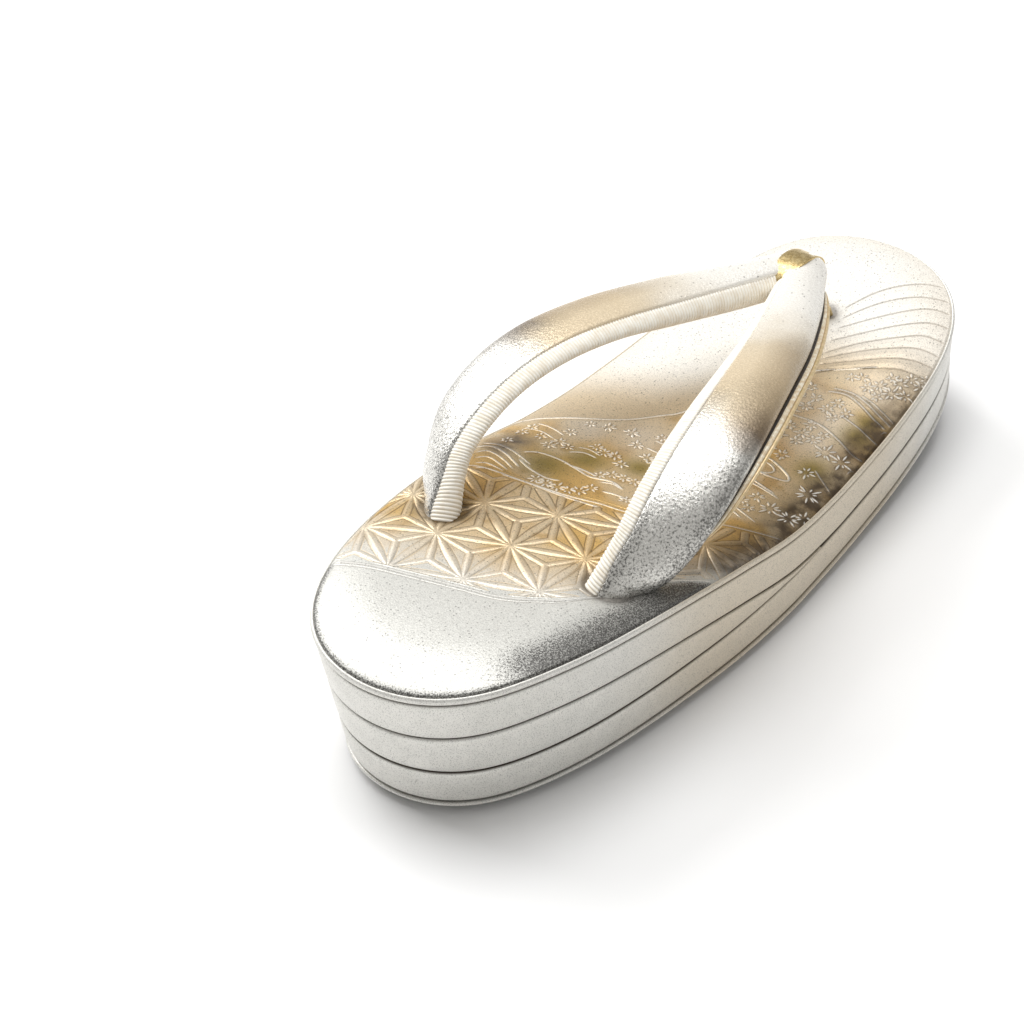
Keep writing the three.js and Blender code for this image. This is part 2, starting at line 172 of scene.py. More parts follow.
def sole_shares(count):
    """Shares of the length that crowd towards the heel and the toe."""
    return (1 - np.cos(np.linspace(0, math.pi, count))) / 2


EDGE_SAMPLES = outline(sole_shares(900))[0]
BATCH = 20000


def inset_of(x, y):
    """Distance in plan from each point to the sole's outline."""
    flat_x, flat_y = np.abs(x).ravel(), y.ravel()
    found = np.empty(len(flat_x))
    for start in range(0, len(flat_x), BATCH):
        part = slice(start, start + BATCH)
        gap_x = flat_x[part, None] - EDGE_SAMPLES[None, :, 0]
        gap_y = flat_y[part, None] - EDGE_SAMPLES[None, :, 1]
        found[part] = np.sqrt((gap_x**2 + gap_y**2).min(1))
    return found.reshape(np.shape(x))


BAND_HEIGHT = 2.3
CROWN_HEIGHT = 2.6
CROWN_REACH = 17.0
CROWN_POWER = 2.1


def cover_height(x, y, inset=None):
    """The footbed's plain surface before its embossing."""
    inset = inset_of(x, y) if inset is None else inset
    rest = 1 - np.minimum(1, inset / CROWN_REACH)
    crown = CROWN_HEIGHT * (1 - rest**CROWN_POWER)
    return levels(y / LENGTH)["upper_top"] + BAND_HEIGHT + crown


RAY_START_HEIGHT = 38.0
RAY_ROUNDS = 25


def on_cover(pixels):
    """Where the camera's rays through these pixels of the photograph meet the footbed, in plan."""
    pixels = np.asarray(pixels, float)
    middle = IMAGE_SIZE / 2
    ray = ((pixels[:, :1] - middle) / FOCAL_PIXELS * CAMERA_RIGHT
           - (pixels[:, 1:2] - middle) / FOCAL_PIXELS * CAMERA_UP - CAMERA_BACK)
    eye = CAMERA_PLACE + (0, LENGTH / 2, 0)
    z = np.full(len(pixels), RAY_START_HEIGHT)
    for _ in range(RAY_ROUNDS):
        at = eye + ((z - eye[2]) / ray[:, 2])[:, None] * ray
        z = 0.5 * z + 0.5 * cover_height(at[:, 0], at[:, 1])
    return at[:, :2]


# Meshes

def make_piece(name, points, quads, attributes=None):
    """A smooth mesh object from points in millimetres and faces of four corners."""
    points = np.asarray(points, float).reshape(-1, 3) - (0, LENGTH / 2, 0)
    mesh = bpy.data.meshes.new(name)
    mesh.vertices.add(len(points))
    mesh.vertices.foreach_set("co", (points * MM).astype(np.float32).ravel())
    mesh.loops.add(quads.size)
    mesh.loops.foreach_set("vertex_index", quads.astype(np.int32).ravel())
    mesh.polygons.add(len(quads))
    mesh.polygons.foreach_set("loop_start", np.arange(0, quads.size, 4, dtype=np.int32))
    mesh.polygons.foreach_set("loop_total", np.full(len(quads), 4, np.int32))
    mesh.polygons.foreach_set("use_smooth", np.ones(len(quads), bool))
    mesh.update(calc_edges=True)
    mesh.validate()
    for key, values in (attributes or {}).items():
        layer = mesh.attributes.new(key, "FLOAT", "POINT")
        layer.data.foreach_set("value", np.asarray(values, np.float32).ravel())
    piece = add_object(name, mesh)
    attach(piece, "root")
    return piece


def grid_faces(rows, columns, wrap_columns=False, wrap_rows=False):
    """Quads between the points of a grid, which may close on itself either way."""
    i = np.arange(rows if wrap_rows else rows - 1)[:, None]
    j = np.arange(columns if wrap_columns else columns - 1)[None, :]
    i_next, j_next = (i + 1) % rows, (j + 1) % columns
    quads = [i * columns + j, i * columns + j_next, i_next * columns + j_next, i_next * columns + j]
    return np.stack([q.ravel() for q in quads], -1)


RING_STEPS = 170
SEAM_INSET = 0.58


def ring_piece(name, profile, end_share=1.0):
    """A closed layer of the sole. The profile is rows of inset and height function, bottom to top."""
    shares = sole_shares(RING_STEPS) * end_share
    rings = []
    for inset, height in profile:
        right = side_ring(shares, inset, height)
        left = right[1:-1][::-1] * (-1, 1, 1)
        rings.append(np.concatenate([right, left]))
    count = len(rings[0])
    i = np.arange(1, count // 2 - 1)
    flat = np.stack([i, i + 1, count - i - 1, count - i], -1)
    top_ring = (len(rings) - 1) * count
    faces = [grid_faces(len(rings), count, wrap_columns=True), flat[:, ::-1], top_ring + flat]
    seam = np.repeat([float(inset > SEAM_INSET) for inset, _ in profile], count)
    return make_piece(name, np.concatenate(rings), np.concatenate(faces), {"seam": seam})


def level(key, offset=0.0):
    return lambda share: levels(share)[key] + offset


# Layers of the sole

# Inset, and rise from the layer's bottom or fall from its top
LAYER_PROFILE = ((2.4, 0.0), (1.2, 0.04), (0.62, 0.18), (0.26, 0.46), (0.08, 0.9), (0.0, 1.8))
LAYER_BULGE = 0.06


def soft_layer(name, bottom, top):
    """A leather-wrapped board with soft edges."""
    rows = [(inset, level(bottom, GAP / 2 + rise)) for inset, rise in LAYER_PROFILE]
    middle = lambda share: (levels(share)[bottom] + levels(share)[top]) / 2
    rows.append((-LAYER_BULGE, middle))
    rows += [(inset, level(top, -GAP / 2 - rise)) for inset, rise in reversed(LAYER_PROFILE)]
    return ring_piece(name, rows)


# Inset, and share of the wedge's depth
WEDGE_PROFILE = ((1.6, 0.0), (0.9, 0.005), (0.45, 0.02), (0.15, 0.06), (0.0, 0.16), (-0.05, 0.5),
                 (0.0, 0.84), (0.15, 0.94), (0.45, 0.98), (0.9, 0.995), (1.6, 1.0))
WEDGE_LEAST = 0.55


def wedge_height(share_of_depth):
    def height(share):
        found = levels(share)
        bottom = found["lower_top"] + GAP / 2
        top = np.maximum(found["wedge_top"], found["lower_top"] + WEDGE_LEAST) - GAP / 2
        return bottom + (top - bottom) * share_of_depth
    return height


OUTSOLE_INSET = 3.6
# Inset past the outsole's own, and rise from its underside
OUTSOLE_PROFILE = ((1.2, 0.0), (0.5, 0.08), (0.15, 0.35), (0.0, 0.8))


def outsole_height(rise):
    return lambda share: np.maximum(0, levels(share)["welt"] - SOLE["clearance"][0]) + rise


# Inset, and rise from the underside of the sole
WELT_PROFILE = ((3.0, 0.0), (0.35, 0.0), (-0.15, 0.15), (-0.32, 0.5), (-0.32, 0.65), (-0.12, 0.98),
                (0.5, 1.1), (3.0, 1.1))

outsole_rows = [(OUTSOLE_INSET + inset, outsole_height(rise)) for inset, rise in OUTSOLE_PROFILE]
outsole = ring_piece("outsole_rubber_sheet", [*outsole_rows, (OUTSOLE_INSET, level("welt", -GAP))])
welt = ring_piece("welt_lip", [(inset, level("welt", rise)) for inset, rise in WELT_PROFILE])
lower_layer = soft_layer("lower_layer_leather", "lower", "lower_top")
wedge_layer = ring_piece("wedge_layer_leather",
                         [(inset, wedge_height(part)) for inset, part in WEDGE_PROFILE],
                         end_share=WEDGE_END_SHARE)
upper_layer = soft_layer("upper_layer_leather", "wedge_top", "upper_top")

# Turned edge of the footbed

# Inset, and rise from the upper layer. The edge tucks in where the cover meets it.
EDGE_PROFILE = ((2.0, 0.15), (0.9, 0.17), (0.35, 0.24), (-0.05, 0.45), (-0.3, 0.8), (-0.38, 1.2),
                (-0.33, 1.6), (-0.14, 1.98), (0.12, 2.22), (0.36, 2.24), (0.55, 2.02), (0.62, 1.5))
edge_band = ring_piece("footbed_edge_band",
                       [(inset, level("upper_top", rise)) for inset, rise in EDGE_PROFILE])

# Charts of the embossed cover

# A hemp star's centre and the steps to its neighbours, in millimetres in plan
HEMP_ORIGIN = np.array([-1.95, 60.4])
HEMP_ALONG = np.array([0.1, 19.0])
HEMP_ACROSS = np.array([17.5, 7.6])

# Borders, drawn on the photograph's own pixels, as are all the points that follow
HEMP_BORDER_HEEL = ((335, 562), (400, 572), (460, 587), (500, 597), (540, 600), (580, 598),
                    (665, 582), (715, 582))
HEMP_BORDER_TOE = ((440, 470), (475, 466), (520, 480), (565, 495), (600, 504), (640, 515),
                   (722, 525), (745, 530), (785, 541))
CLOUD_EDGE = ((480, 440), (505, 427), (530, 420), (560, 418), (620, 420), (660, 416), (690, 410),
              (760, 380), (800, 372), (845, 369), (880, 367))

# Raised lines: width and height in millimetres, then the points
LINES = (
    (0.7, 0.30, ((473, 448), (490, 446), (505, 453), (520, 468))),
    (0.6, 0.25, ((473, 453), (488, 451), (503, 459), (514, 470))),
    (0.6, 0.25, ((473, 458), (488, 457), (500, 464), (509, 471))),
    (0.6, 0.25, ((473, 463), (486, 463), (498, 468), (505, 472))),
    (0.6, 0.25, ((473, 468), (484, 468), (494, 471), (501, 474))),
    (0.6, 0.25, ((480, 443), (500, 445), (516, 453), (532, 466))),
    (0.7, 0.30, ((500, 474), (530, 484), (565, 497), (600, 508))),
    (0.8, 0.40, ((522, 452), (540, 453), (560, 460), (576, 469), (590, 477), (612, 482), (624, 491))),
    (0.7, 0.30, ((518, 458), (530, 469), (546, 478), (562, 481))),
    (0.9, 0.40, ((567, 465), (580, 469), (598, 477))),
    (0.7, 0.35, ((567, 452), (584, 453), (598, 459))),
    (0.6, 0.30, ((576, 447), (590, 450), (602, 457))),
    (0.7, 0.35, ((600, 491), (616, 495), (630, 501))),
    (0.6, 0.30, ((598, 482), (612, 484), (622, 490))),
    (0.7, 0.35, ((645, 447), (660, 454), (676, 459))),
    (0.6, 0.30, ((654, 440), (668, 446), (684, 449))),
    (0.6, 0.25, ((536, 423), (552, 428), (566, 437))),
    (0.6, 0.25, ((520, 428), (540, 431), (556, 440))),
    (0.7, 0.40, ((776, 409), (793, 415), (818, 424), (838, 440), (852, 455), (866, 464))),
    (0.6, 0.35, ((838, 414), (858, 428), (870, 439), (884, 449))),
    (0.7, 0.45, ((826, 391), (846, 395), (860, 405), (874, 420), (886, 431))),
    (0.7, 0.45, ((832, 388), (851, 393), (866, 403), (880, 417), (892, 429))),
    (0.6, 0.35, ((860, 395), (872, 403), (884, 414), (897, 427))),
    (0.7, 0.40, ((758, 455), (770, 459), (780, 467), (788, 476), (788, 481), (780, 480), (766, 475),
                 (750, 467))),
    (0.6, 0.30, ((764, 461), (772, 466), (774, 471), (768, 473), (756, 471))),
    (0.6, 0.35, ((738, 477), (752, 483), (768, 492), (780, 500))),
    (0.6, 0.30, ((750, 477), (764, 487), (776, 495))),
    (0.6, 0.30, ((814, 469), (822, 481), (831, 494))),
    (0.6, 0.30, ((726, 506), (734, 512), (742, 519))),
    (0.6, 0.30, ((734, 506), (746, 515), (757, 524))),
    (0.5, 0.30, ((846, 476), (850, 472), (856, 473), (857, 478), (851, 480))),
    (0.5, 0.30, ((880, 436), (884, 433), (888, 435), (886, 440), (880, 444))),
    (0.5, 0.30, ((912, 388), (918, 386), (922, 390), (917, 394), (911, 398))),
)

# Comb lines of the toe, pressed in: the points of each
COMB = (
    ((843, 308), (880, 291), (920, 284), (946, 288)),
    ((840, 318), (880, 303), (920, 297), (952, 303)),
    ((836, 328), (870, 319), (900, 312), (930, 309), (954, 316)),
    ((828, 341), (870, 331), (900, 325), (930, 323), (953, 330)),
    ((822, 353), (860, 343), (900, 337), (925, 336), (950, 345)),
    ((822, 358), (860, 351), (890, 348), (920, 349), (946, 359)),
    ((818, 364), (850, 361), (890, 358), (915, 361), (938, 370)),
    ((812, 373), (840, 369), (880, 368), (905, 371), (932, 382)),
)

# Blossoms: pixel of the centre, reach in millimetres, strokes and turn in degrees
BLOSSOMS = (
    (808, 495, 3.6, 10, 0), (770, 509, 3.2, 9, 20), (788, 519, 3.0, 9, 5), (804, 519, 2.6, 8, 30),
    (825, 453, 3.4, 9, 12), (841, 463, 3.0, 8, 0), (782, 455, 2.6, 8, 15), (806, 473, 2.6, 8, 8),
    (770, 447, 2.0, 6, 0), (790, 425, 2.2, 7, 10), (802, 433, 2.2, 7, 0), (813, 440, 2.2, 7, 24),
    (796, 441, 2.0, 6, 5), (780, 435, 2.0, 6, 30), (811, 425, 2.2, 7, 0), (823, 436, 2.0, 6, 12),
    (806, 406, 2.2, 7, 0), (816, 398, 2.0, 6, 18), (827, 409, 2.2, 7, 5), (838, 403, 2.2, 7, 0),
    (846, 414, 2.2, 6, 20), (800, 395, 2.0, 6, 0), (812, 387, 2.0, 6, 9), (832, 418, 2.0, 6, 14),
    (793, 410, 2.0, 6, 0), (742, 500, 2.2, 7, 0), (757, 497, 2.4, 7, 15), (748, 508, 2.0, 6, 0),
    (868, 388, 2.2, 7, 0), (880, 386, 2.4, 7, 10), (891, 394, 2.8, 8, 0), (900, 384, 2.6, 8, 5),
    (893, 379, 2.2, 7, 20), (912, 380, 2.2, 6, 0), (852, 377, 2.0, 6, 0), (863, 378, 2.0, 6, 12),
    (905, 397, 2.2, 6, 0), (920, 388, 2.0, 6, 15), (926, 380, 1.8, 6, 0), (876, 397, 2.0, 6, 8),
    (536, 479, 2.2, 7, 0), (546, 483, 2.2, 7, 12), (557, 487, 2.4, 7, 0), (568, 490, 2.2, 7, 20),
    (579, 491, 2.4, 7, 0), (591, 488, 2.2, 7, 10), (597, 447, 2.2, 7, 0), (604, 453, 2.2, 7, 18),
    (615, 456, 2.2, 7, 0), (621, 464, 2.2, 7, 9), (600, 475, 2.0, 6, 0), (612, 475, 2.2, 7, 14),
    (624, 478, 2.2, 7, 0), (634, 482, 2.2, 7, 7), (571, 432, 2.2, 7, 0), (560, 442, 2.2, 7, 22),
    (549, 445, 2.2, 7, 0), (541, 436, 2.0, 6, 10), (568, 447, 2.0, 6, 0), (591, 424, 2.0, 6, 0),
    (609, 427, 2.2, 7, 15), (632, 433, 2.4, 7, 0), (637, 445, 2.2, 7, 20), (647, 458, 2.2, 7, 0),
    (656, 463, 2.2, 7, 12), (662, 438, 2.0, 6, 0), (507, 440, 2.0, 6, 0), (522, 432, 2.0, 6, 10),
    (533, 427, 2.0, 6, 0), (626, 500, 2.0, 6, 0), (640, 494, 2.0, 6, 10), (652, 478, 2.2, 7, 0),
    (668, 470, 2.2, 7, 0), (680, 440, 2.0, 6, 10), (700, 445, 2.2, 7, 0), (690, 460, 2.2, 7, 12),
    (715, 430, 2.2, 7, 0), (705, 480, 2.2, 7, 10), (690, 490, 2.2, 7, 0), (735, 450, 2.2, 7, 20),
    (725, 470, 2.2, 7, 0), (750, 430, 2.2, 7, 8), (745, 405, 2.2, 7, 0), (765, 415, 2.2, 7, 16),
)

# Airbrushed patches: pixel of the centre, reach in millimetres and tone
PATCHES = (
    (828, 424, 10, "pale"), (800, 400, 9, "pale"), (880, 392, 11, "pale"), (812, 442, 8, "pale"),
    (640, 436, 9, "pale"), (590, 428, 8, "pale"), (858, 437, 5, "olive"), (868, 424, 4, "olive"),
    (586, 460, 6, "olive"), (545, 464, 7, "olive"), (640, 468, 5, "olive"), (812, 470, 5, "olive"),
    (866, 452, 5, "dark"), (874, 458, 5, "dark"), (876, 432, 3, "dark"), (840, 500, 7, "dark"),
    (815, 522, 7, "dark"), (893, 436, 4, "dark"), (515, 440, 5, "dark"), (500, 446, 5, "dark"),
)


LINE_STEPS = 6


def through(points):
    """A smooth plan line through points that are charted on the photograph."""
    plan = on_cover(points)
    share = np.linspace(0, 1, (len(plan) - 1) * LINE_STEPS + 1)
    return np.stack([column(plan[:, 0], share), column(plan[:, 1], share)], -1)


def across_line(line, x):
    """The y of a charted line that runs from left to right, at each x."""
    order = np.argsort(line[:, 0])
    return np.interp(x, line[order, 0], line[order, 1])


# Cover grid, with one row of points across the footbed at each y

COLUMNS = 341
FINE_STEP = 0.25
RELIEF_FROM = 24.0
RELIEF_TO = 233.0
END_ROWS = 34
COVER_INSET = 0.5


def cover_rows():
    """The outline shares of the cover's rows: cosine spaced at both ends and even between."""
    even = np.arange(RELIEF_FROM, RELIEF_TO, FINE_STEP) / LENGTH
    ease = 1 - np.cos(np.linspace(0, math.pi / 2, END_ROWS))[:-1]
    heel = ease * even[0]
    toe = 1 - (1 - even[-1]) * ease[::-1]
    return np.concatenate([heel, even, toe])


edge_point, edge_out = outline(cover_rows())
row_half, row_y = (edge_point - COVER_INSET * edge_out).T
row_half = np.maximum(0, row_half)
cover_x = row_half[:, None] * np.linspace(-1, 1, COLUMNS)
cover_y = np.repeat(row_y[:, None], COLUMNS, 1)
cover_inset = inset_of(cover_x, cover_y)

# Embossing

# The mesh carries a soft part of each form. Every vertex also keeps its place across the nearest ray,
# line and stroke, in half widths of that form, and the leather's nodes make the crisp part from it.
MESH_SHARE = 0.35
FAR = 9.0
relief = np.zeros_like(cover_x)
line_place = np.full_like(cover_x, FAR)
line_rise = np.zeros_like(cover_x)
stroke_place = np.full_like(cover_x, FAR)


def window(low_x, low_y, high_x, high_y):
    """The slice of the cover grid that holds a box in plan."""
    first, last = np.searchsorted(row_y, (low_y, high_y))
    first, last = max(0, first - 1), min(len(row_y), last + 1)
    halves = np.maximum(row_half[first:last], 1e-3)
    widest, narrowest = halves.max(initial=1e-3), halves.min(initial=LENGTH)
    bounds = [low_x / widest, low_x / narrowest, high_x / widest, high_x / narrowest]
    left = int((min(bounds) + 1) / 2 * (COLUMNS - 1)) - 1
    right = int((max(bounds) + 1) / 2 * (COLUMNS - 1)) + 3
    return slice(first, last), slice(max(0, left), min(COLUMNS, right))


def to_segment(px, py, a, b):
    """Distance to a segment and the share of it nearest to each point."""
    ab = b - a
    share = ((px - a[0]) * ab[0] + (py - a[1]) * ab[1]) / max(ab @ ab, 1e-9)
    share = np.clip(share, 0, 1)
    return np.hypot(px - a[0] - share * ab[0], py - a[1] - share * ab[1]), share


def near_segment(a, b, reach):
    """The slice of the grid near a segment, with each point's distance and the segment's share."""
    part = window(*(np.minimum(a, b) - reach), *(np.maximum(a, b) + reach))
    return part, *to_segment(cover_x[part], cover_y[part], a, b)


LINE_TAPER = 2.0
LINE_HALF = 0.65
RIDGE_SPREAD = 0.6


def press_line(line, width, height):
    """Raises a ridge along a line, or cuts a groove where the height is below nothing."""
    run = np.concatenate([[0], np.cumsum(np.linalg.norm(np.diff(line, axis=0), axis=1))])
    for a, b, start, end in zip(line[:-1], line[1:], run[:-1], run[1:]):
        part, away, share = near_segment(a, b, 3 * width)
        along = start + share * (end - start)
        ends = smooth(0, LINE_TAPER, along) * smooth(0, LINE_TAPER, run[-1] - along)
        ridge = MESH_SHARE * height * ends * np.exp(-(away / (RIDGE_SPREAD * width)) ** 2)
        stronger = np.abs(ridge) > np.abs(relief[part])
        relief[part] = np.where(stronger, ridge, relief[part])
        side = (b[0] - a[0]) * (cover_y[part] - a[1]) - (b[1] - a[1]) * (cover_x[part] - a[0])
        place = np.sign(side) * away / (LINE_HALF * width)
        nearer = np.abs(place) < np.abs(line_place[part])
        line_place[part] = np.where(nearer, place, line_place[part])
        rise = height * ends * fade(1.3, 1.75, np.abs(place))
        line_rise[part] = np.where(nearer, rise, line_rise[part])


def press_stroke(a, b, width, height):
    """Raises a lens-shaped stroke from a to b."""
    part, away, share = near_segment(a, b, width)
    girth = width * (0.4 + 0.6 * np.sin(np.pi * np.clip(share, 0.03, 0.97)))
    place = away / (0.5 * girth)
    relief[part] = np.maximum(relief[part], MESH_SHARE * height * np.exp(-place ** 2))
    stroke_place[part] = np.minimum(stroke_place[part], place)


# Hemp-leaf ground

# Rays run from each star to its neighbours and to the middles between them. Each kind has its least
# half width and how much it swells.
LONG_RAY = (0.38, 0.68)
SHORT_RAY = (0.38, 0.48)
HEMP_HEIGHT = 0.2
HEMP_SPREAD = 0.9


def hemp_places(x, y):
    """Where each point is across the nearest ray, in half widths of that ray."""
    basis = np.stack([HEMP_ALONG, HEMP_ACROSS], 1)
    here = np.stack([x, y], -1)
    cell = (here - HEMP_ORIGIN) @ np.linalg.inv(basis).T
    whole = np.floor(cell)
    far_corner = ((cell - whole).sum(-1) > 1)[..., None].astype(float)
    side = 1 - 2 * far_corner
    stars = [whole + far_corner + side * step for step in ((0, 0), (1, 0), (0, 1))]
    points = [star @ basis.T + HEMP_ORIGIN for star in stars]
    centre = (points[0] + points[1] + points[2]) / 3
    nearest = np.full(x.shape, FAR)
    for k in range(3):
        for other, (least, more) in ((points[(k + 1) % 3], LONG_RAY), (centre, SHORT_RAY)):
            ab = other - points[k]
            share = ((here - points[k]) * ab).sum(-1) / (ab * ab).sum(-1)
            share = np.clip(share, 0, 1)
            away = np.linalg.norm(here - points[k] - share[..., None] * ab, axis=-1)
            swell = np.sin(np.pi * share) if other is not centre else smooth(0, 0.6, share)
            nearest = np.minimum(nearest, away / (least + more * swell))
    return nearest


PLACE_LIMIT = 3.0
hemp_low = across_line(through(HEMP_BORDER_HEEL), cover_x)
hemp_high = across_line(through(HEMP_BORDER_TOE), cover_x)
in_hemp = smooth(0.0, 0.7, cover_y - hemp_low - 0.9) * smooth(0.0, 0.7, hemp_high - cover_y - 0.9)
ray_place = hemp_places(cover_x, cover_y)
relief += HEMP_HEIGHT * np.exp(-(ray_place / HEMP_SPREAD) ** 2) * in_hemp
ray_place = np.clip(ray_place, 0, PLACE_LIMIT) * in_hemp + PLACE_LIMIT * (1 - in_hemp)

# Width and height of each kind of line
BORDER_RIDGE = (0.6, 0.4)
BORDER_GROOVE = (0.4, -0.16)
CLOUD_RIDGE = (0.7, 0.3)
COMB_GROOVE = (0.55, -0.3)

for chart, groove_shift in ((HEMP_BORDER_HEEL, -1.3), (HEMP_BORDER_TOE, 1.4)):
    border = through(chart)
    press_line(border, *BORDER_RIDGE)
    press_line(border + (0, groove_shift), *BORDER_GROOVE)
press_line(through(CLOUD_EDGE), *CLOUD_RIDGE)
for width, height, points in LINES:
    press_line(through(points), width, height)

STROKE_WIDTH = 0.8
STROKE_HEIGHT = 0.42
STROKE_START = 0.36
TURN_JITTER = 12
petal_rng = np.random.default_rng(11)
for px, py, reach, strokes, turn_degrees in BLOSSOMS:
    middle = on_cover([(px, py)])[0]
    for k in range(strokes):
        turn_off, long_off = petal_rng.uniform(-1, 1, 2)
        angle = math.radians(turn_degrees + 360 * k / strokes + TURN_JITTER * turn_off)
        ray_way = np.array([math.cos(angle), math.sin(angle)])
        long_ray = (1.0 if k % 2 == 0 else 0.82) + 0.18 * long_off
        press_stroke(middle + STROKE_START * reach * ray_way, middle + reach * long_ray * ray_way,
                     STROKE_WIDTH, STROKE_HEIGHT)

DIP_DEPTH = 0.1
DIP_SPREAD = 1.5
comb_dip = np.zeros_like(cover_x)
for points in COMB:
    line = through(points)
    press_line(line, *COMB_GROOVE)
    for a, b in zip(line[:-1], line[1:]):
        part, away, _ = near_segment(a, b, 4)
        comb_dip[part] = np.maximum(comb_dip[part], DIP_DEPTH * np.exp(-(away / DIP_SPREAD) ** 2))

# Puckers where the straps and the loop's stem go down through the cover

# The x, y, half width and half length of each hole
PITS = ((26.2, 63.2, 6.6, 6.0), (-26.2, 63.2, 6.6, 6.0), (0.0, 205.4, 2.6, 2.6))
PIT_SPREAD = 2.4
PIT_SHADE_SPREAD = 1.6
pit = np.zeros_like(cover_x)
pit_shade = np.zeros_like(cover_x)
for x, y, half_wide, half_long in PITS:
    gap = np.hypot((cover_x - x) / half_wide, (cover_y - y) / half_long) - 1
    past = np.clip(gap, 0, None) * half_wide
    pit += np.exp(-past / PIT_SPREAD)
    pit_shade = np.maximum(pit_shade, np.exp(-past / PIT_SHADE_SPREAD))

TUCK_DEPTH = 0.45
quiet = smooth(0.5, 1.6, cover_inset)
shaped = (relief - comb_dip) * quiet - pit
tuck = TUCK_DEPTH * fade(0.45, 1.1, cover_inset)
cover_z = cover_height(cover_x, cover_y, cover_inset) + shaped - tuck

# Cover tints, painted shade and painted highlights, as shares that the leather's nodes mix

# Distances toeward of the hemp ground's heel border and of the cloud's edge
past_border = cover_y - hemp_low
past_cloud = cover_y - across_line(through(CLOUD_EDGE), cover_x)
gold = smooth(2, 26, past_border) * fade(-10, 22, past_cloud)
white = smooth(0, 26, past_cloud + 0.3 * (cover_x - 5))
tan = smooth(-3, 1, past_cloud)
patch = {tone: np.zeros_like(cover_x) for tone in ("pale", "olive", "dark")}
for px, py, reach, tone in PATCHES:
    middle = on_cover([(px, py)])[0]
    gap = np.hypot(cover_x - middle[0], cover_y - middle[1]) / reach
    patch[tone] = np.maximum(patch[tone], np.exp(-gap ** 2))
outer_side = smooth(-4, 18, cover_x)
# Darker brown towards the outer rim: partly airbrushed dye, partly a painted dark reflection of the
# surroundings on the curved crown
rim_dark = 0.95 * fade(0.5, 15, cover_inset) * smooth(-2, 10, past_border)
rim_dark *= fade(-6, 16, past_cloud) * outer_side
# Grey flecked rim round the heel, broad on its outer side: partly airbrushed dye, partly a painted dark
# reflection of the surroundings
rim_grey = fade(1.0, 19, cover_inset) * smooth(6, 30, cover_y) * outer_side
rim_grey = np.maximum(rim_grey, 0.8 * fade(0.8, 3.6, cover_inset)) * fade(-3, 2, past_border)
# Grey towards the toe's outer side, partly airbrushed specks, partly a painted dark reflection; then painted
# shade along the toe's whole rim
toe_grey = 0.7 * fade(2, 24, cover_inset) * smooth(-20, -4, past_cloud)
toe_grey *= (1 - 0.7 * smooth(30, 60, past_cloud)) * outer_side
toe_rim_shade = 0.5 * fade(0.6, 8, cover_inset) * smooth(-6, 6, past_cloud)
LINE_LIMIT = 2.5
attributes = {
    "gold": gold,
    "white": white,
    "tan": tan,
    "ray": ray_place,
    "line_place": np.clip(line_place, -LINE_LIMIT, LINE_LIMIT),
    "line_rise": line_rise * quiet,
    "stroke": np.clip(stroke_place, 0, PLACE_LIMIT),
    "pale": patch["pale"],
    "olive": patch["olive"],
    "dark": np.clip(rim_dark + patch["dark"], 0, 1),
    "pit": pit_shade,
    "smoke": rim_grey,
    "haze": np.maximum(toe_grey, toe_rim_shade),
}

# The cover's pieces, each with the y where it starts and ends
ZONES = (("cover_heel", 0.0, 58.0), ("cover_middle", 58.0, 112.0), ("cover_front", 112.0, 174.0),
         ("cover_toe", 174.0, 241.0))
grid = np.stack([cover_x, cover_y, cover_z], -1)


def grid_normals(points):
    """The surface's normals at a grid's points, so that pieces cut from it meet without a seam."""
    normal = np.cross(np.gradient(points, axis=1), np.gradient(points, axis=0))
    size = np.linalg.norm(normal, axis=-1, keepdims=True)
    normal /= np.maximum(size, 1e-9)
    normal[size[..., 0] < 1e-9] = (0, 0, 1)
    return normal


cover_normals = grid_normals(grid)
covers = []
for name, start_y, end_y in ZONES:
    first, last = np.searchsorted(row_y, (start_y, end_y))
    rows = slice(max(0, first - 1), last)
    part = {key: values[rows] for key, values in attributes.items()}
    piece = make_piece(name, grid[rows], grid_faces(len(grid[rows]), COLUMNS), part)
    piece.data.normals_split_custom_set_from_vertices(cover_normals[rows].reshape(-1, 3).tolist())
    covers.append(piece)

# Straps

# The seams are angles round the section, from the strap's inner edge over its face
INNER_SEAM = 52.0
OUTER_SEAM = 192.0
TIP_ANGLES = np.linspace(0, 88, 20)[1:]


def strap_frames(shares):
    shares = np.asarray(shares, float)
    at = lambda s: np.stack([column(STRAP[k], s) for k in "xyz"], -1)
    step = 0.004
    along = at(np.clip(shares + step, 0, 1)) - at(np.clip(shares - step, 0, 1))
    along /= np.linalg.norm(along, axis=1, keepdims=True)
    tilt = np.radians(column(STRAP["lean"], shares))
    face = np.stack([np.sin(tilt), np.zeros_like(tilt), np.cos(tilt)], -1)
    face -= (face * along).sum(1, keepdims=True) * along
    face /= np.linalg.norm(face, axis=1, keepdims=True)
    inner = np.cross(face, along)
    return {"centre": at(shares), "along": along, "face": face, "inner": inner,
            "half": column(STRAP["half"], shares), "thick": column(STRAP["thick"], shares)}


def with_tip(frames):
    """Adds a rounded tip past the last frame."""
    angle = np.radians(TIP_ANGLES)
    count = len(angle)
    last = {key: np.repeat(values[-1:], count, 0) for key, values in frames.items()}
    last["centre"] = last["centre"] + last["along"] * (last["half"] * np.sin(angle))[:, None]
    last["half"] = last["half"] * np.cos(angle)
    last["thick"] = last["thick"] * np.cos(angle)
    return {key: np.concatenate([frames[key], last[key]]) for key in frames}


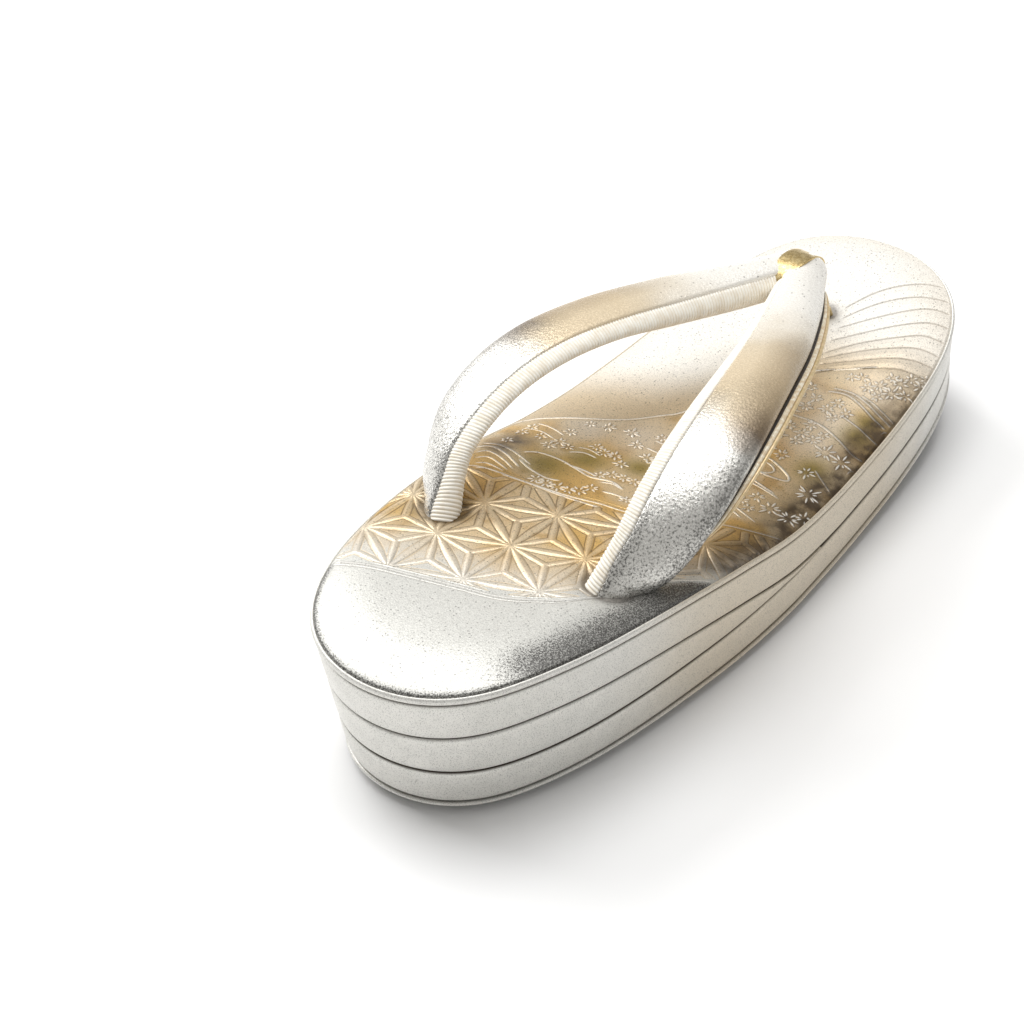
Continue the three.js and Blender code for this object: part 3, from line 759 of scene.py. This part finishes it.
def strap_points(frames, angles, grow):
    """Points at these angles round each frame. The section is wider and thicker by grow."""
    turn = np.radians(angles)
    across_size = frames["half"][:, None] + grow
    face_size = frames["thick"][:, None] + grow
    return (frames["centre"][:, None]
            + frames["inner"][:, None] * (across_size * np.cos(turn))[..., None]
            + frames["face"][:, None] * (face_size * np.sin(turn))[..., None])


def run_length(frames):
    steps = np.linalg.norm(np.diff(frames["centre"], axis=0), axis=1)
    return np.concatenate([[0], np.cumsum(steps)])


def strap_half(name, points, attributes, side):
    """One strap's mesh, cut by the middle plane."""
    faces = grid_faces(*points.shape[:2], wrap_columns=True)
    faces = faces if side > 0 else faces[:, ::-1]
    piece = make_piece(name, points * (side, 1, 1), faces, attributes)
    work = bmesh.new()
    work.from_mesh(piece.data)
    bmesh.ops.bisect_plane(work, geom=work.verts[:] + work.edges[:] + work.faces[:], dist=1e-6,
                           plane_co=(0, 0, 0), plane_no=(side, 0, 0), clear_inner=True)
    work.to_mesh(piece.data)
    work.free()
    return piece


def strap_piece(name, points, attributes):
    halves = [strap_half(name, points, attributes, 1), strap_half(name + "_other", points, attributes, -1)]
    with bpy.context.temp_override(active_object=halves[0], selected_editable_objects=halves,
                                   object=halves[0], selected_objects=halves):
        bpy.ops.object.join()
    return halves[0]


rng = np.random.default_rng(7)
NOISE_TERMS = 10


def slow_noise(rows, columns, row_waves, column_waves):
    """A smooth, seeded waviness over a grid, about 1 high."""
    u = np.linspace(0, 1, rows)[:, None]
    v = np.linspace(0, 1, columns)[None, :]
    total = np.zeros((rows, columns))
    for _ in range(NOISE_TERMS):
        wave_u, wave_v = rng.uniform(0.3, 1, 2) * (row_waves, column_waves)
        total += np.sin(2 * np.pi * (wave_u * u + wave_v * v + rng.uniform()))
    return total / math.sqrt(NOISE_TERMS)


LEATHER_ROWS = 360
STRAP_LOW = 0.03

# How the leather passes its seams and rounds up from them in degrees, then puffs, waves and creases
SEAM_OVERLAP = 3
SEAM_ROUNDING = 9
SEAM_SINK = 0.25
PUFF = 0.75
UNDER_SINK = 0.9
WAVE_HEIGHT = 0.06
CREASE_HEIGHT = 0.07
CREASE_REACH = 9
leather_frames = with_tip(strap_frames(np.linspace(STRAP_LOW, 1, LEATHER_ROWS)))
leather_run = run_length(leather_frames)
outer_angles = np.linspace(INNER_SEAM - SEAM_OVERLAP, OUTER_SEAM + SEAM_OVERLAP, 44)
under_angles = np.linspace(OUTER_SEAM + 1, INNER_SEAM - 1, 12)
leather_angles = np.concatenate([outer_angles, under_angles])
to_seam = np.minimum(outer_angles - outer_angles[0], outer_angles[-1] - outer_angles)
outer_grow = PUFF * np.sqrt(np.clip(to_seam / SEAM_ROUNDING, 0, 1)) - SEAM_SINK
leather_grow = np.concatenate([outer_grow, np.full(len(under_angles), -UNDER_SINK)])
leather_shape = (len(leather_run), len(leather_angles))
wave = slow_noise(*leather_shape, 9, 2)
crease_fade = np.exp(-leather_run / CREASE_REACH)[:, None]
creases = np.sin(leather_run[:, None] * 1.9 + 1.5 * np.sin(np.radians(leather_angles) * 2))
grow = leather_grow[None, :] + WAVE_HEIGHT * wave + CREASE_HEIGHT * crease_fade * creases
straps = strap_piece("straps_leather", strap_points(leather_frames, leather_angles, grow), {
    "run": np.broadcast_to(leather_run[:, None] / leather_run[-1], leather_shape),
    "around": np.broadcast_to(leather_angles[None, :] / 360, leather_shape),
})

RIB_PITCH = 0.95
RIB_SAMPLES = 6
RIB_HEIGHT = 0.26
LINING_SINK = 1.2
strap_run = run_length(strap_frames(np.linspace(STRAP_LOW, 1, 200)))[-1]
rib_rows = int(strap_run / RIB_PITCH * RIB_SAMPLES)
lining_frames = with_tip(strap_frames(np.linspace(STRAP_LOW, 1, rib_rows)))
lining_run = run_length(lining_frames)
lining_angles = np.linspace(OUTER_SEAM + 1, INNER_SEAM + 359, 30)
hidden_angles = np.linspace(INNER_SEAM + 350, OUTER_SEAM + 10, 8)
rib_angles = np.concatenate([lining_angles, hidden_angles])
shown = np.arange(len(rib_angles))[None, :] < len(lining_angles)
rib = np.abs(np.sin(np.pi * lining_run / RIB_PITCH))[:, None] ** 0.8
ribbed = np.where(shown, RIB_HEIGHT * (rib - 0.5), -LINING_SINK)
lining = strap_piece("strap_lining_ribbed", strap_points(lining_frames, rib_angles, ribbed),
                     {"rib": np.where(shown, rib, 0.0)})

# Three strips along the straps' outer seams: a dark one, which is painted shadow in the gap under the
# strap's edge, then a pale and a gold strip sewn in

PIPING_FROM = 0.27
PIPING_TO = 0.93
PIPING_ROWS = 220
PIPING_ANGLE = 198
PIPING_CLEAR = 0.2
piping_frames = strap_frames(np.linspace(PIPING_FROM, PIPING_TO, PIPING_ROWS))
piping_taper = np.sin(np.linspace(0, math.pi, PIPING_ROWS)) ** 0.45
piping_root = strap_points(piping_frames, np.array([PIPING_ANGLE]), PIPING_CLEAR)


def lip(name, drop, start, end, girth):
    """A strip on both straps, from start to end beyond the seam and below it by its drop."""
    turn = np.linspace(0, 2 * math.pi, 14, endpoint=False)
    middle, reach = (start + end) / 2, (end - start) / 2
    out = (middle + reach * np.cos(turn))[None, :, None] * piping_taper[:, None, None]
    fall = (drop + np.sin(turn) * girth / 2)[None, :, None]
    points = piping_root - piping_frames["inner"][:, None] * out - piping_frames["face"][:, None] * fall
    right = points.reshape(-1, 3)
    faces = grid_faces(PIPING_ROWS, len(turn), wrap_columns=True)
    return make_piece(name, np.concatenate([right, right * (-1, 1, 1)]),
                      np.concatenate([faces, faces[:, ::-1] + len(right)]))


# The dark strip is painted shadow in the gap between the strap's edge and the pale strip
seam_shadow_lip = lip("seam_shadow_strip", 0.5, -0.6, 1.2, 0.5)
piping_pale = lip("piping_pale_strip", 0.8, 1.0, 2.5, 0.8)
piping_gold = lip("piping_gold_strip", 1.5, 2.2, 3.5, 0.8)

# Front loop, a gold leather band round the joint that is narrower at its back

LOOP_WIDTH = 7.6
LOOP_BACK_WIDTH = 3.0
LOOP_WALL = 0.9
LOOP_LIFT = 0.4
LOOP_SQUARENESS = 0.35
LOOP_BACK = 177.6
FRONT = {key: values[-1] for key, values in STRAP.items()}
LOOP_TIP = FRONT["y"] + FRONT["half"]
loop_middle = (LOOP_BACK + LOOP_TIP) / 2
loop_reach = (LOOP_TIP - LOOP_BACK) / 2
turns = np.linspace(0, 2 * math.pi, 120, endpoint=False)
squeeze = np.maximum(0, -np.cos(turns)) ** 2
loop_half = (LOOP_WIDTH * (1 - squeeze) + LOOP_BACK_WIDTH * squeeze) / 2


def squared(wave):
    """A wave between -1 and 1 with flatter tops, for a band's nearly square section."""
    return np.sign(wave) * np.abs(wave) ** LOOP_SQUARENESS


profile_turn = np.linspace(0, 2 * math.pi, 40, endpoint=False)
profile_x = squared(np.cos(profile_turn))
profile_r = 0.5 + 0.5 * squared(np.sin(profile_turn))
folds = 0.1 * np.sin(profile_x * 7.0)[None, :] * (0.6 + 0.4 * np.sin(turns * 2))[:, None]
lift = LOOP_LIFT + LOOP_WALL * profile_r[None, :] + folds * (profile_r > 0.6)[None, :]
ring_y = loop_middle + (loop_reach + lift) * np.cos(turns)[:, None]
ring_z = FRONT["z"] + (FRONT["thick"] + lift) * np.sin(turns)[:, None] - 0.05 * (ring_y - loop_middle)
ring_x = loop_half[:, None] * profile_x[None, :]
loop_band = make_piece("front_loop_band", np.stack([ring_x, ring_y, ring_z], -1),
                       grid_faces(len(turns), len(profile_turn), True, True))

# Stem of the front loop

# Each row gives its values at even steps from the joint down into the footbed
STEM = {
    "y": (191.8, 196.0, 200.6, 204.0, 205.2),
    "z": (50.9, 46.5, 40.5, 35.5, 31.8),
    "wide": (2.6, 2.0, 1.7, 1.7, 1.7),
    "deep": (1.8, 1.6, 1.5, 1.5, 1.5),
}
stem_share = np.linspace(0, 1, 60)[:, None]
stem_turn = np.linspace(0, 2 * math.pi, 36, endpoint=False)[None, :]
stem_fold = 1 + 0.07 * np.sin(stem_turn * 5) + 0.03 * np.sin(stem_share * 30)
stem = {key: column(values, stem_share) for key, values in STEM.items()}
stem_x = stem["wide"] * np.cos(stem_turn) * stem_fold
stem_y = stem["y"] + stem["deep"] * np.sin(stem_turn) * stem_fold
stem_z = np.broadcast_to(stem["z"], stem_x.shape)
loop_stem = make_piece("front_loop_stem", np.stack([stem_x, stem_y, stem_z], -1),
                       grid_faces(*stem_x.shape, wrap_columns=True))

# Materials

MIX_SHARE, MIX_FROM, MIX_TO, MIX_RESULT = 0, 6, 7, 2


class Nodes:
    """A short way to write a material's node tree. Distances in it are in millimetres."""

    def __init__(self, name):
        self.material = bpy.data.materials.new(name)
        self.material.use_nodes = True
        self.tree = self.material.node_tree
        self.shader = self.tree.nodes["Principled BSDF"]
        metres = self.add("ShaderNodeTexCoord", "Object")
        self.place = self.add("ShaderNodeVectorMath", 0, {0: metres, "Scale": 1 / MM}, operation="SCALE")

    def add(self, kind, output, inputs=(), **settings):
        """Adds a node and returns one of its outputs. Inputs are sockets or plain values."""
        node = self.tree.nodes.new(kind)
        for key, value in settings.items():
            setattr(node, key, value)
        self.fill(node, inputs)
        return node.outputs[output]

    def fill(self, node, inputs):
        for key, value in dict(inputs).items():
            if isinstance(value, bpy.types.NodeSocket):
                self.tree.links.new(value, node.inputs[key])
            else:
                node.inputs[key].default_value = value

    def noise(self, scale, detail=2.0, roughness=0.5):
        return self.add("ShaderNodeTexNoise", "Fac", {
            "Vector": self.place, "Scale": scale, "Detail": detail, "Roughness": roughness})

    def cells(self, scale, output="Distance"):
        return self.add("ShaderNodeTexVoronoi", output, {"Vector": self.place, "Scale": scale})

    def attributes(self, names):
        return [self.add("ShaderNodeAttribute", "Fac", attribute_name=name) for name in names.split()]

    def maths(self, operation, *values):
        return self.add("ShaderNodeMath", 0, enumerate(values), operation=operation)

    def range(self, value, low, high, to_low=0.0, to_high=1.0):
        """A soft step from to_low, at values below low, to to_high, at values above high."""
        return self.add("ShaderNodeMapRange", 0, enumerate((value, low, high, to_low, to_high)),
                        interpolation_type="SMOOTHSTEP")

    def fade(self, value, low, high):
        """1 below low, 0 above high and a soft step between."""
        return self.range(value, low, high, 1.0, 0.0)

    def blotches(self, scale, low=0.3, high=0.7, to_low=0.0, to_high=1.0, detail=3.0):
        return self.range(self.noise(scale, detail), low, high, to_low, to_high)

    def spray(self, share, scale, roughness, low, high, strength):
        """Flecks that thicken with a share. Low and high hold the noise's limits at shares 0 and 1."""
        return self.range(self.noise(scale, 3.0, roughness), self.range(share, 0.0, 1.0, *low),
                          self.range(share, 0.0, 1.0, *high), 0.0, strength)

    def near(self, value, target, reach):
        """1 where the value is the target, and a soft step to 0 at reach from it."""
        return self.fade(self.maths("ABSOLUTE", self.maths("SUBTRACT", value, target)), 0.0, reach)

    def share(self, *values):
        """The product of shares."""
        product = values[0]
        for value in values[1:]:
            product = self.maths("MULTIPLY", product, value)
        return product

    def mix(self, share, a, b):
        return self.add("ShaderNodeMix", MIX_RESULT, {MIX_SHARE: share, MIX_FROM: a, MIX_TO: b},
                        data_type="RGBA")

    def lay(self, tone, rows):
        """Lays tints over a tone. Each row is a share, its strength and the tint."""
        for share, strength, tint in rows:
            tone = self.mix(self.share(share, strength), tone, tint)
        return tone

    def bump(self, height, strength, distance, after=None):
        inputs = {"Height": height, "Strength": strength, "Distance": distance * MM}
        if after is not None:
            inputs["Normal"] = after
        return self.add("ShaderNodeBump", "Normal", inputs)

    def specks(self, scale, size, rarity):
        """Sparse dots: the share of cells that hold one falls as rarity rises to 1."""
        dot = self.fade(self.cells(scale), size * 0.6, size)
        red = self.add("ShaderNodeSeparateColor", 0, {0: self.cells(scale, "Color")})
        return self.share(dot, self.maths("GREATER_THAN", red, rarity))

    def finish(self, colour, roughness, normal, metallic, **others):
        self.fill(self.shader, {"Base Color": colour, "Roughness": roughness, "Normal": normal,
                                "Metallic": metallic, **others})
        return self.material


def colour(red, green, blue):
    """A linear colour from a screen colour of 0 to 255."""
    parts = []
    for value in (red, green, blue):
        share = value / 255
        parts.append(share / 12.92 if share <= 0.04045 else ((share + 0.055) / 1.055) ** 2.4)
    return (*parts, 1.0)


SILVER = colour(212, 211, 205)
PEARL = colour(234, 232, 226)
CREAM = colour(214, 194, 162)
WHITE = colour(240, 237, 230)
GOLD = colour(217, 179, 110)
OCHRE = colour(184, 146, 82)
OLIVE = colour(146, 126, 46)
TAUPE = colour(224, 201, 162)
SAND = colour(212, 198, 174)
ROSE_GREY = colour(230, 215, 192)
UMBER = colour(96, 76, 56)
DARK_BROWN = colour(58, 42, 24)
CHARCOAL = colour(46, 44, 41)


def grain_normal(nodes, strength, after=None, pebble=1.5, fine=4.5):
    """Leather grain: pebbles and a fine grit, each given by how many go in a millimetre."""
    first = nodes.bump(nodes.cells(pebble), 0.5 * strength, 0.16, after)
    return nodes.bump(nodes.noise(fine, 3.0, 0.65), 0.9 * strength, 0.1, first)


def cover_leather():
    nodes = Nodes("cover_leather")
    gold, white, tan, pale, olive, dark = nodes.attributes("gold white tan pale olive dark")
    ray, stroke, rise, place = nodes.attributes("ray stroke line_rise line_place")
    pit, smoke, haze = nodes.attributes("pit smoke haze")

    line = nodes.maths("ABSOLUTE", place)
    pad = nodes.fade(ray, 0.7, 1.15)
    dome = nodes.fade(ray, 0.0, 1.05)
    ray_edge = nodes.near(ray, 1.3, 0.36)
    ridge = nodes.fade(line, 0.0, 1.0)
    gutter = nodes.near(line, 1.2, 0.3)
    petal = nodes.fade(stroke, 0.15, 1.0)
    petal_edge = nodes.near(stroke, 1.5, 0.5)
    raised = nodes.range(rise, 0.0, 0.25)
    raised_line = nodes.share(ridge, raised)
    line_edge = nodes.share(gutter, raised)
    cut_line = nodes.share(ridge, nodes.fade(rise, -0.2, 0.0))

    drift = nodes.noise(0.13, 3.0)
    ground = nodes.mix(nodes.blotches(0.05, 0.42, 0.6, detail=2.0), TAUPE, GOLD)
    ground = nodes.mix(nodes.range(drift, 0.52, 0.7, 0.0, 0.6), ground, OCHRE)
    ground = nodes.lay(ground, ((pale, 1.0, ROSE_GREY), (olive, 0.9, OLIVE)))
    silver = nodes.mix(nodes.range(drift, 0.4, 0.65, 0.0, 0.5), SILVER, ROSE_GREY)
    tone = nodes.mix(gold, nodes.mix(nodes.range(gold, 0.0, 0.1), SILVER, silver), ground)
    blot = nodes.blotches(0.3, 0.25, 0.7, detail=4.0)
    tone = nodes.lay(tone, (
        (tan, 0.9, CREAM),
        (white, 1.0, WHITE),
        (pad, 0.4, nodes.mix(gold, ROSE_GREY, SAND)),
        # painted shade in the grooves round the hemp rays
        (ray_edge, 0.7, nodes.mix(gold, TAUPE, UMBER)),
        # painted highlight on the raised lines, painted shade in the gutters beside them and in the pressed
        # grooves
        (raised_line, 0.85, WHITE),
        (line_edge, 0.6, UMBER),
        (cut_line, 0.5, UMBER),
        # dark patches, and the painted dark reflection along the outer rim
        (dark, nodes.range(blot, 0.0, 1.0, 0.66, 0.95), DARK_BROWN),
        # painted highlight on the petals, painted shade beside them
        (petal, 0.95, WHITE),
        (petal_edge, 0.6, UMBER),
        # painted shadow round the holes where the straps and the stem go down
        (pit, 0.7, DARK_BROWN),
        # painted dark reflection and airbrushed flecks round the heel's rim
        (nodes.share(smoke, smoke), 0.6, CHARCOAL),
        (nodes.spray(smoke, 2.6, 0.75, (0.7, 0.38), (0.76, 0.54), 0.9), 1.0, CHARCOAL),
        # grey tint and specks on the toe, with painted shade along its rim
        (haze, 0.3, TAUPE),
        (nodes.spray(haze, 3.2, 0.7, (0.72, 0.46), (0.8, 0.66), 0.5), 1.0, UMBER),
        (nodes.specks(1.1, 0.3, 0.66), 0.5, CHARCOAL),
        (nodes.range(nodes.noise(2.8, 3.0, 0.75), 0.44, 0.68, 0.0, 0.36), 1.0, CHARCOAL),
    ))

    height = nodes.share(dome, 0.1)
    for form, rise_of_form in ((pad, 0.11), (ray_edge, -0.05), (ridge, nodes.share(rise, 0.32)),
                               (gutter, nodes.share(rise, -0.12)), (petal, 0.08), (petal_edge, -0.04)):
        height = nodes.maths("MULTIPLY_ADD", form, rise_of_form, height)
    embossed = nodes.bump(height, 1.0, 1.0)
    rough = nodes.blotches(1.4, to_low=0.32, to_high=0.44)
    matt = nodes.maths("MAXIMUM", petal, raised_line)
    metal = nodes.share(nodes.range(gold, 0.0, 1.0, 0.34, 0.55), nodes.range(white, 0.0, 1.0, 1.0, 0.3),
                        nodes.range(matt, 0.0, 1.0, 1.0, 0.1))
    return nodes.finish(tone, rough, grain_normal(nodes, 0.36, embossed, 2.2), metal)


def side_leather(name, grain=0.4):
    nodes = Nodes(name)
    toeward = nodes.add("ShaderNodeSeparateXYZ", "Y", {0: nodes.place})
    drift = nodes.maths("MULTIPLY_ADD", nodes.noise(0.03, 2.0), 40.0, toeward)
    warm = nodes.share(nodes.range(drift, -60.0, 0.0), nodes.fade(drift, 60.0, 110.0))
    [seam] = nodes.attributes("seam")
    tone = nodes.lay(nodes.mix(nodes.noise(0.2, 3.0), PEARL, SILVER), (
        (warm, 0.75, SAND),
        (nodes.blotches(3.6, 0.52, 0.68, 0.0, 0.42, 2.0), 1.0, CHARCOAL),
        (seam, 0.9, DARK_BROWN),
    ))
    rough = nodes.blotches(2.0, to_low=0.36, to_high=0.5)
    return nodes.finish(tone, rough, grain_normal(nodes, grain, pebble=2.2), 0.45)


def strap_leather():
    nodes = Nodes("strap_leather")
    run, around = nodes.attributes("run around")
    wander = nodes.maths("MULTIPLY_ADD", nodes.noise(0.06, 2.0), 0.16, -0.08)
    place = nodes.maths("ADD", run, wander)
    # Brown painted shade along the strap's outer edge, where it faces dark surroundings
    outer_edge_shade = nodes.share(nodes.range(around, 0.24, 0.42), nodes.range(place, 0.3, 0.4),
                        nodes.range(place, 0.44, 0.68, 0.85, 0.0))
    tint = nodes.share(nodes.range(place, 0.36, 0.46), nodes.range(place, 0.5, 0.66, 0.45, 0.0))
    # Painted dark reflection at the strap bases, on the outer side and along the inner seam, with dark
    # flecks of grain that thicken in it
    outer_base = nodes.share(nodes.range(around, 0.3, 0.47), nodes.fade(place, 0.24, 0.4))
    inner_base = nodes.share(nodes.fade(around, 0.15, 0.24), nodes.range(place, 0.12, 0.26, 0.6, 0.0))
    base_shade = nodes.maths("MAXIMUM", outer_base, inner_base)
    fleck = nodes.spray(base_shade, 1.9, 0.7, (0.5, 0.4), (0.64, 0.56), 0.8)
    tone = nodes.lay(PEARL, (
        (nodes.range(place, 0.3, 0.42), 1.0, SAND),
        (nodes.range(place, 0.58, 0.8), 1.0, WHITE),
        # painted shade along the outer edge
        (nodes.maths("POWER", outer_edge_shade, 0.5), 1.0, UMBER),
        (tint, 1.0, TAUPE),
        # painted dark reflection at the bases, with its dark flecks
        (base_shade, 0.28, CHARCOAL),
        (fleck, nodes.range(place, 0.16, 0.5, 1.0, 0.12), CHARCOAL),
        (nodes.share(nodes.specks(0.9, 0.3, 0.76), nodes.range(place, 0.5, 0.8)), 0.6, CHARCOAL),
    ))
    rough = nodes.blotches(1.6, to_low=0.2, to_high=0.3)
    metal = nodes.range(place, 0.3, 0.56, 0.72, 0.12)
    return nodes.finish(tone, rough, grain_normal(nodes, 0.9, pebble=1.2), metal)


def ribbed_cloth():
    nodes = Nodes("ribbed_lining")
    [rib_share] = nodes.attributes("rib")
    # Painted shade in the valleys between the ribs, lighter on their crests
    tone = nodes.mix(rib_share, colour(228, 219, 198), colour(253, 250, 243))
    tone = nodes.mix(nodes.blotches(0.4, 0.4, 0.7, 0.0, 0.3, 2.0), tone, CREAM)
    nap = nodes.bump(nodes.noise(7.0, 2.0), 0.5, 0.08)
    return nodes.finish(tone, 0.85, nap, 0.0, **{"Sheen Weight": 0.3, "Sheen Roughness": 0.4})


def strip_leather(name, tone_a, tone_b, metal, smoothest=0.32, grain=0.35):
    nodes = Nodes(name)
    tone = nodes.mix(nodes.blotches(0.8, 0.35, 0.65), tone_a, tone_b)
    rough = nodes.blotches(2.4, to_low=smoothest, to_high=smoothest + 0.14, detail=2.0)
    return nodes.finish(tone, rough, grain_normal(nodes, grain), metal)


def rubber():
    nodes = Nodes("outsole_rubber")
    tone = nodes.mix(nodes.noise(1.2, 3.0), colour(34, 32, 30), colour(62, 58, 52))
    dimple = nodes.bump(nodes.cells(0.7), 0.5, 0.3)
    return nodes.finish(tone, 0.8, dimple, 0.0)


side_material = side_leather("side_leather")
gold_material = strip_leather("gold_leather", colour(220, 198, 146), colour(190, 165, 112), 0.85, 0.24, 0.12)
PIPING = ("piping_leather", ["piping_right", "piping_left"])
# Pieces, material, the name of its slot and the CAD nodes that the pieces replace
LOOKS = (
    (covers, cover_leather(), "cover_leather", ["footbed"]),
    ([edge_band], side_material, "side_leather", ["footbed"]),
    ([lower_layer], side_material, "side_leather", ["lower_layer"]),
    ([wedge_layer], side_material, "side_leather", ["wedge_layer"]),
    ([upper_layer], side_material, "side_leather", ["upper_layer"]),
    ([welt], side_leather("welt_leather", 0.3), "welt_leather", ["welt"]),
    ([outsole], rubber(), "outsole_rubber", ["outsole"]),
    ([straps], strap_leather(), "strap_leather", ["straps"]),
    ([lining], ribbed_cloth(), "ribbed_lining", ["strap_lining"]),
    ([piping_pale], strip_leather("piping_pale", colour(240, 232, 212), CREAM, 0.15), *PIPING),
    ([seam_shadow_lip], strip_leather("seam_shadow_lip", DARK_BROWN, CHARCOAL, 0.1), *PIPING),
    ([piping_gold], strip_leather("piping_gold", colour(206, 184, 138), TAUPE, 0.4), *PIPING),
    ([loop_band, loop_stem], gold_material, "gold_leather", ["front_loop"]),
)
for pieces, material, slot_name, replaced in LOOKS:
    for piece in pieces:
        piece.data.materials.clear()
        piece.data.materials.append(material)
        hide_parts(*replaced)

# Floor, light and world

FLOOR_REACH = 3.0
corners = [(x * FLOOR_REACH, y * FLOOR_REACH, 0) for x, y in ((-1, -1), (1, -1), (1, 1), (-1, 1))]
floor_mesh = bpy.data.meshes.new("floor")
floor_mesh.from_pydata(corners, [], [(0, 1, 2, 3)])
floor = add_object("floor", floor_mesh)
floor_nodes = Nodes("floor_paper")
floor_tone = floor_nodes.mix(floor_nodes.noise(0.01, 2.0), colour(250, 250, 250), colour(247, 247, 247))
floor.data.materials.append(floor_nodes.finish(
    floor_tone, 0.9, floor_nodes.bump(floor_nodes.noise(0.5), 0.05, 0.1), 0.0))


def soft_box(name, place, aim, size, power):
    """A rectangular light, with its place, aim and size in metres and its power in watts."""
    light = bpy.data.lights.new(name, "AREA")
    light.shape = "RECTANGLE"
    light.size, light.size_y = size
    light.energy = power
    lamp = add_object(name, light)
    lamp.location = place
    way = Vector(place) - Vector(aim)
    lamp.rotation_euler = way.to_track_quat("Z", "Y").to_euler()


soft_box("window_left", (-1.55, 0.15, 1.25), (0, 0, 0.03), (1.3, 1.1), 26)
soft_box("top", (-0.3, 0.4, 2.1), (0.05, -0.05, 0), (1.5, 1.5), 32)

world = bpy.data.worlds.new("studio")
world.use_nodes = True
bpy.context.scene.world = world
backdrop = world.node_tree.nodes["Background"]
backdrop.inputs["Color"].default_value = (1.0, 0.99, 0.97, 1)
backdrop.inputs["Strength"].default_value = 0.42
bpy.context.scene.view_settings.view_transform = "Standard"
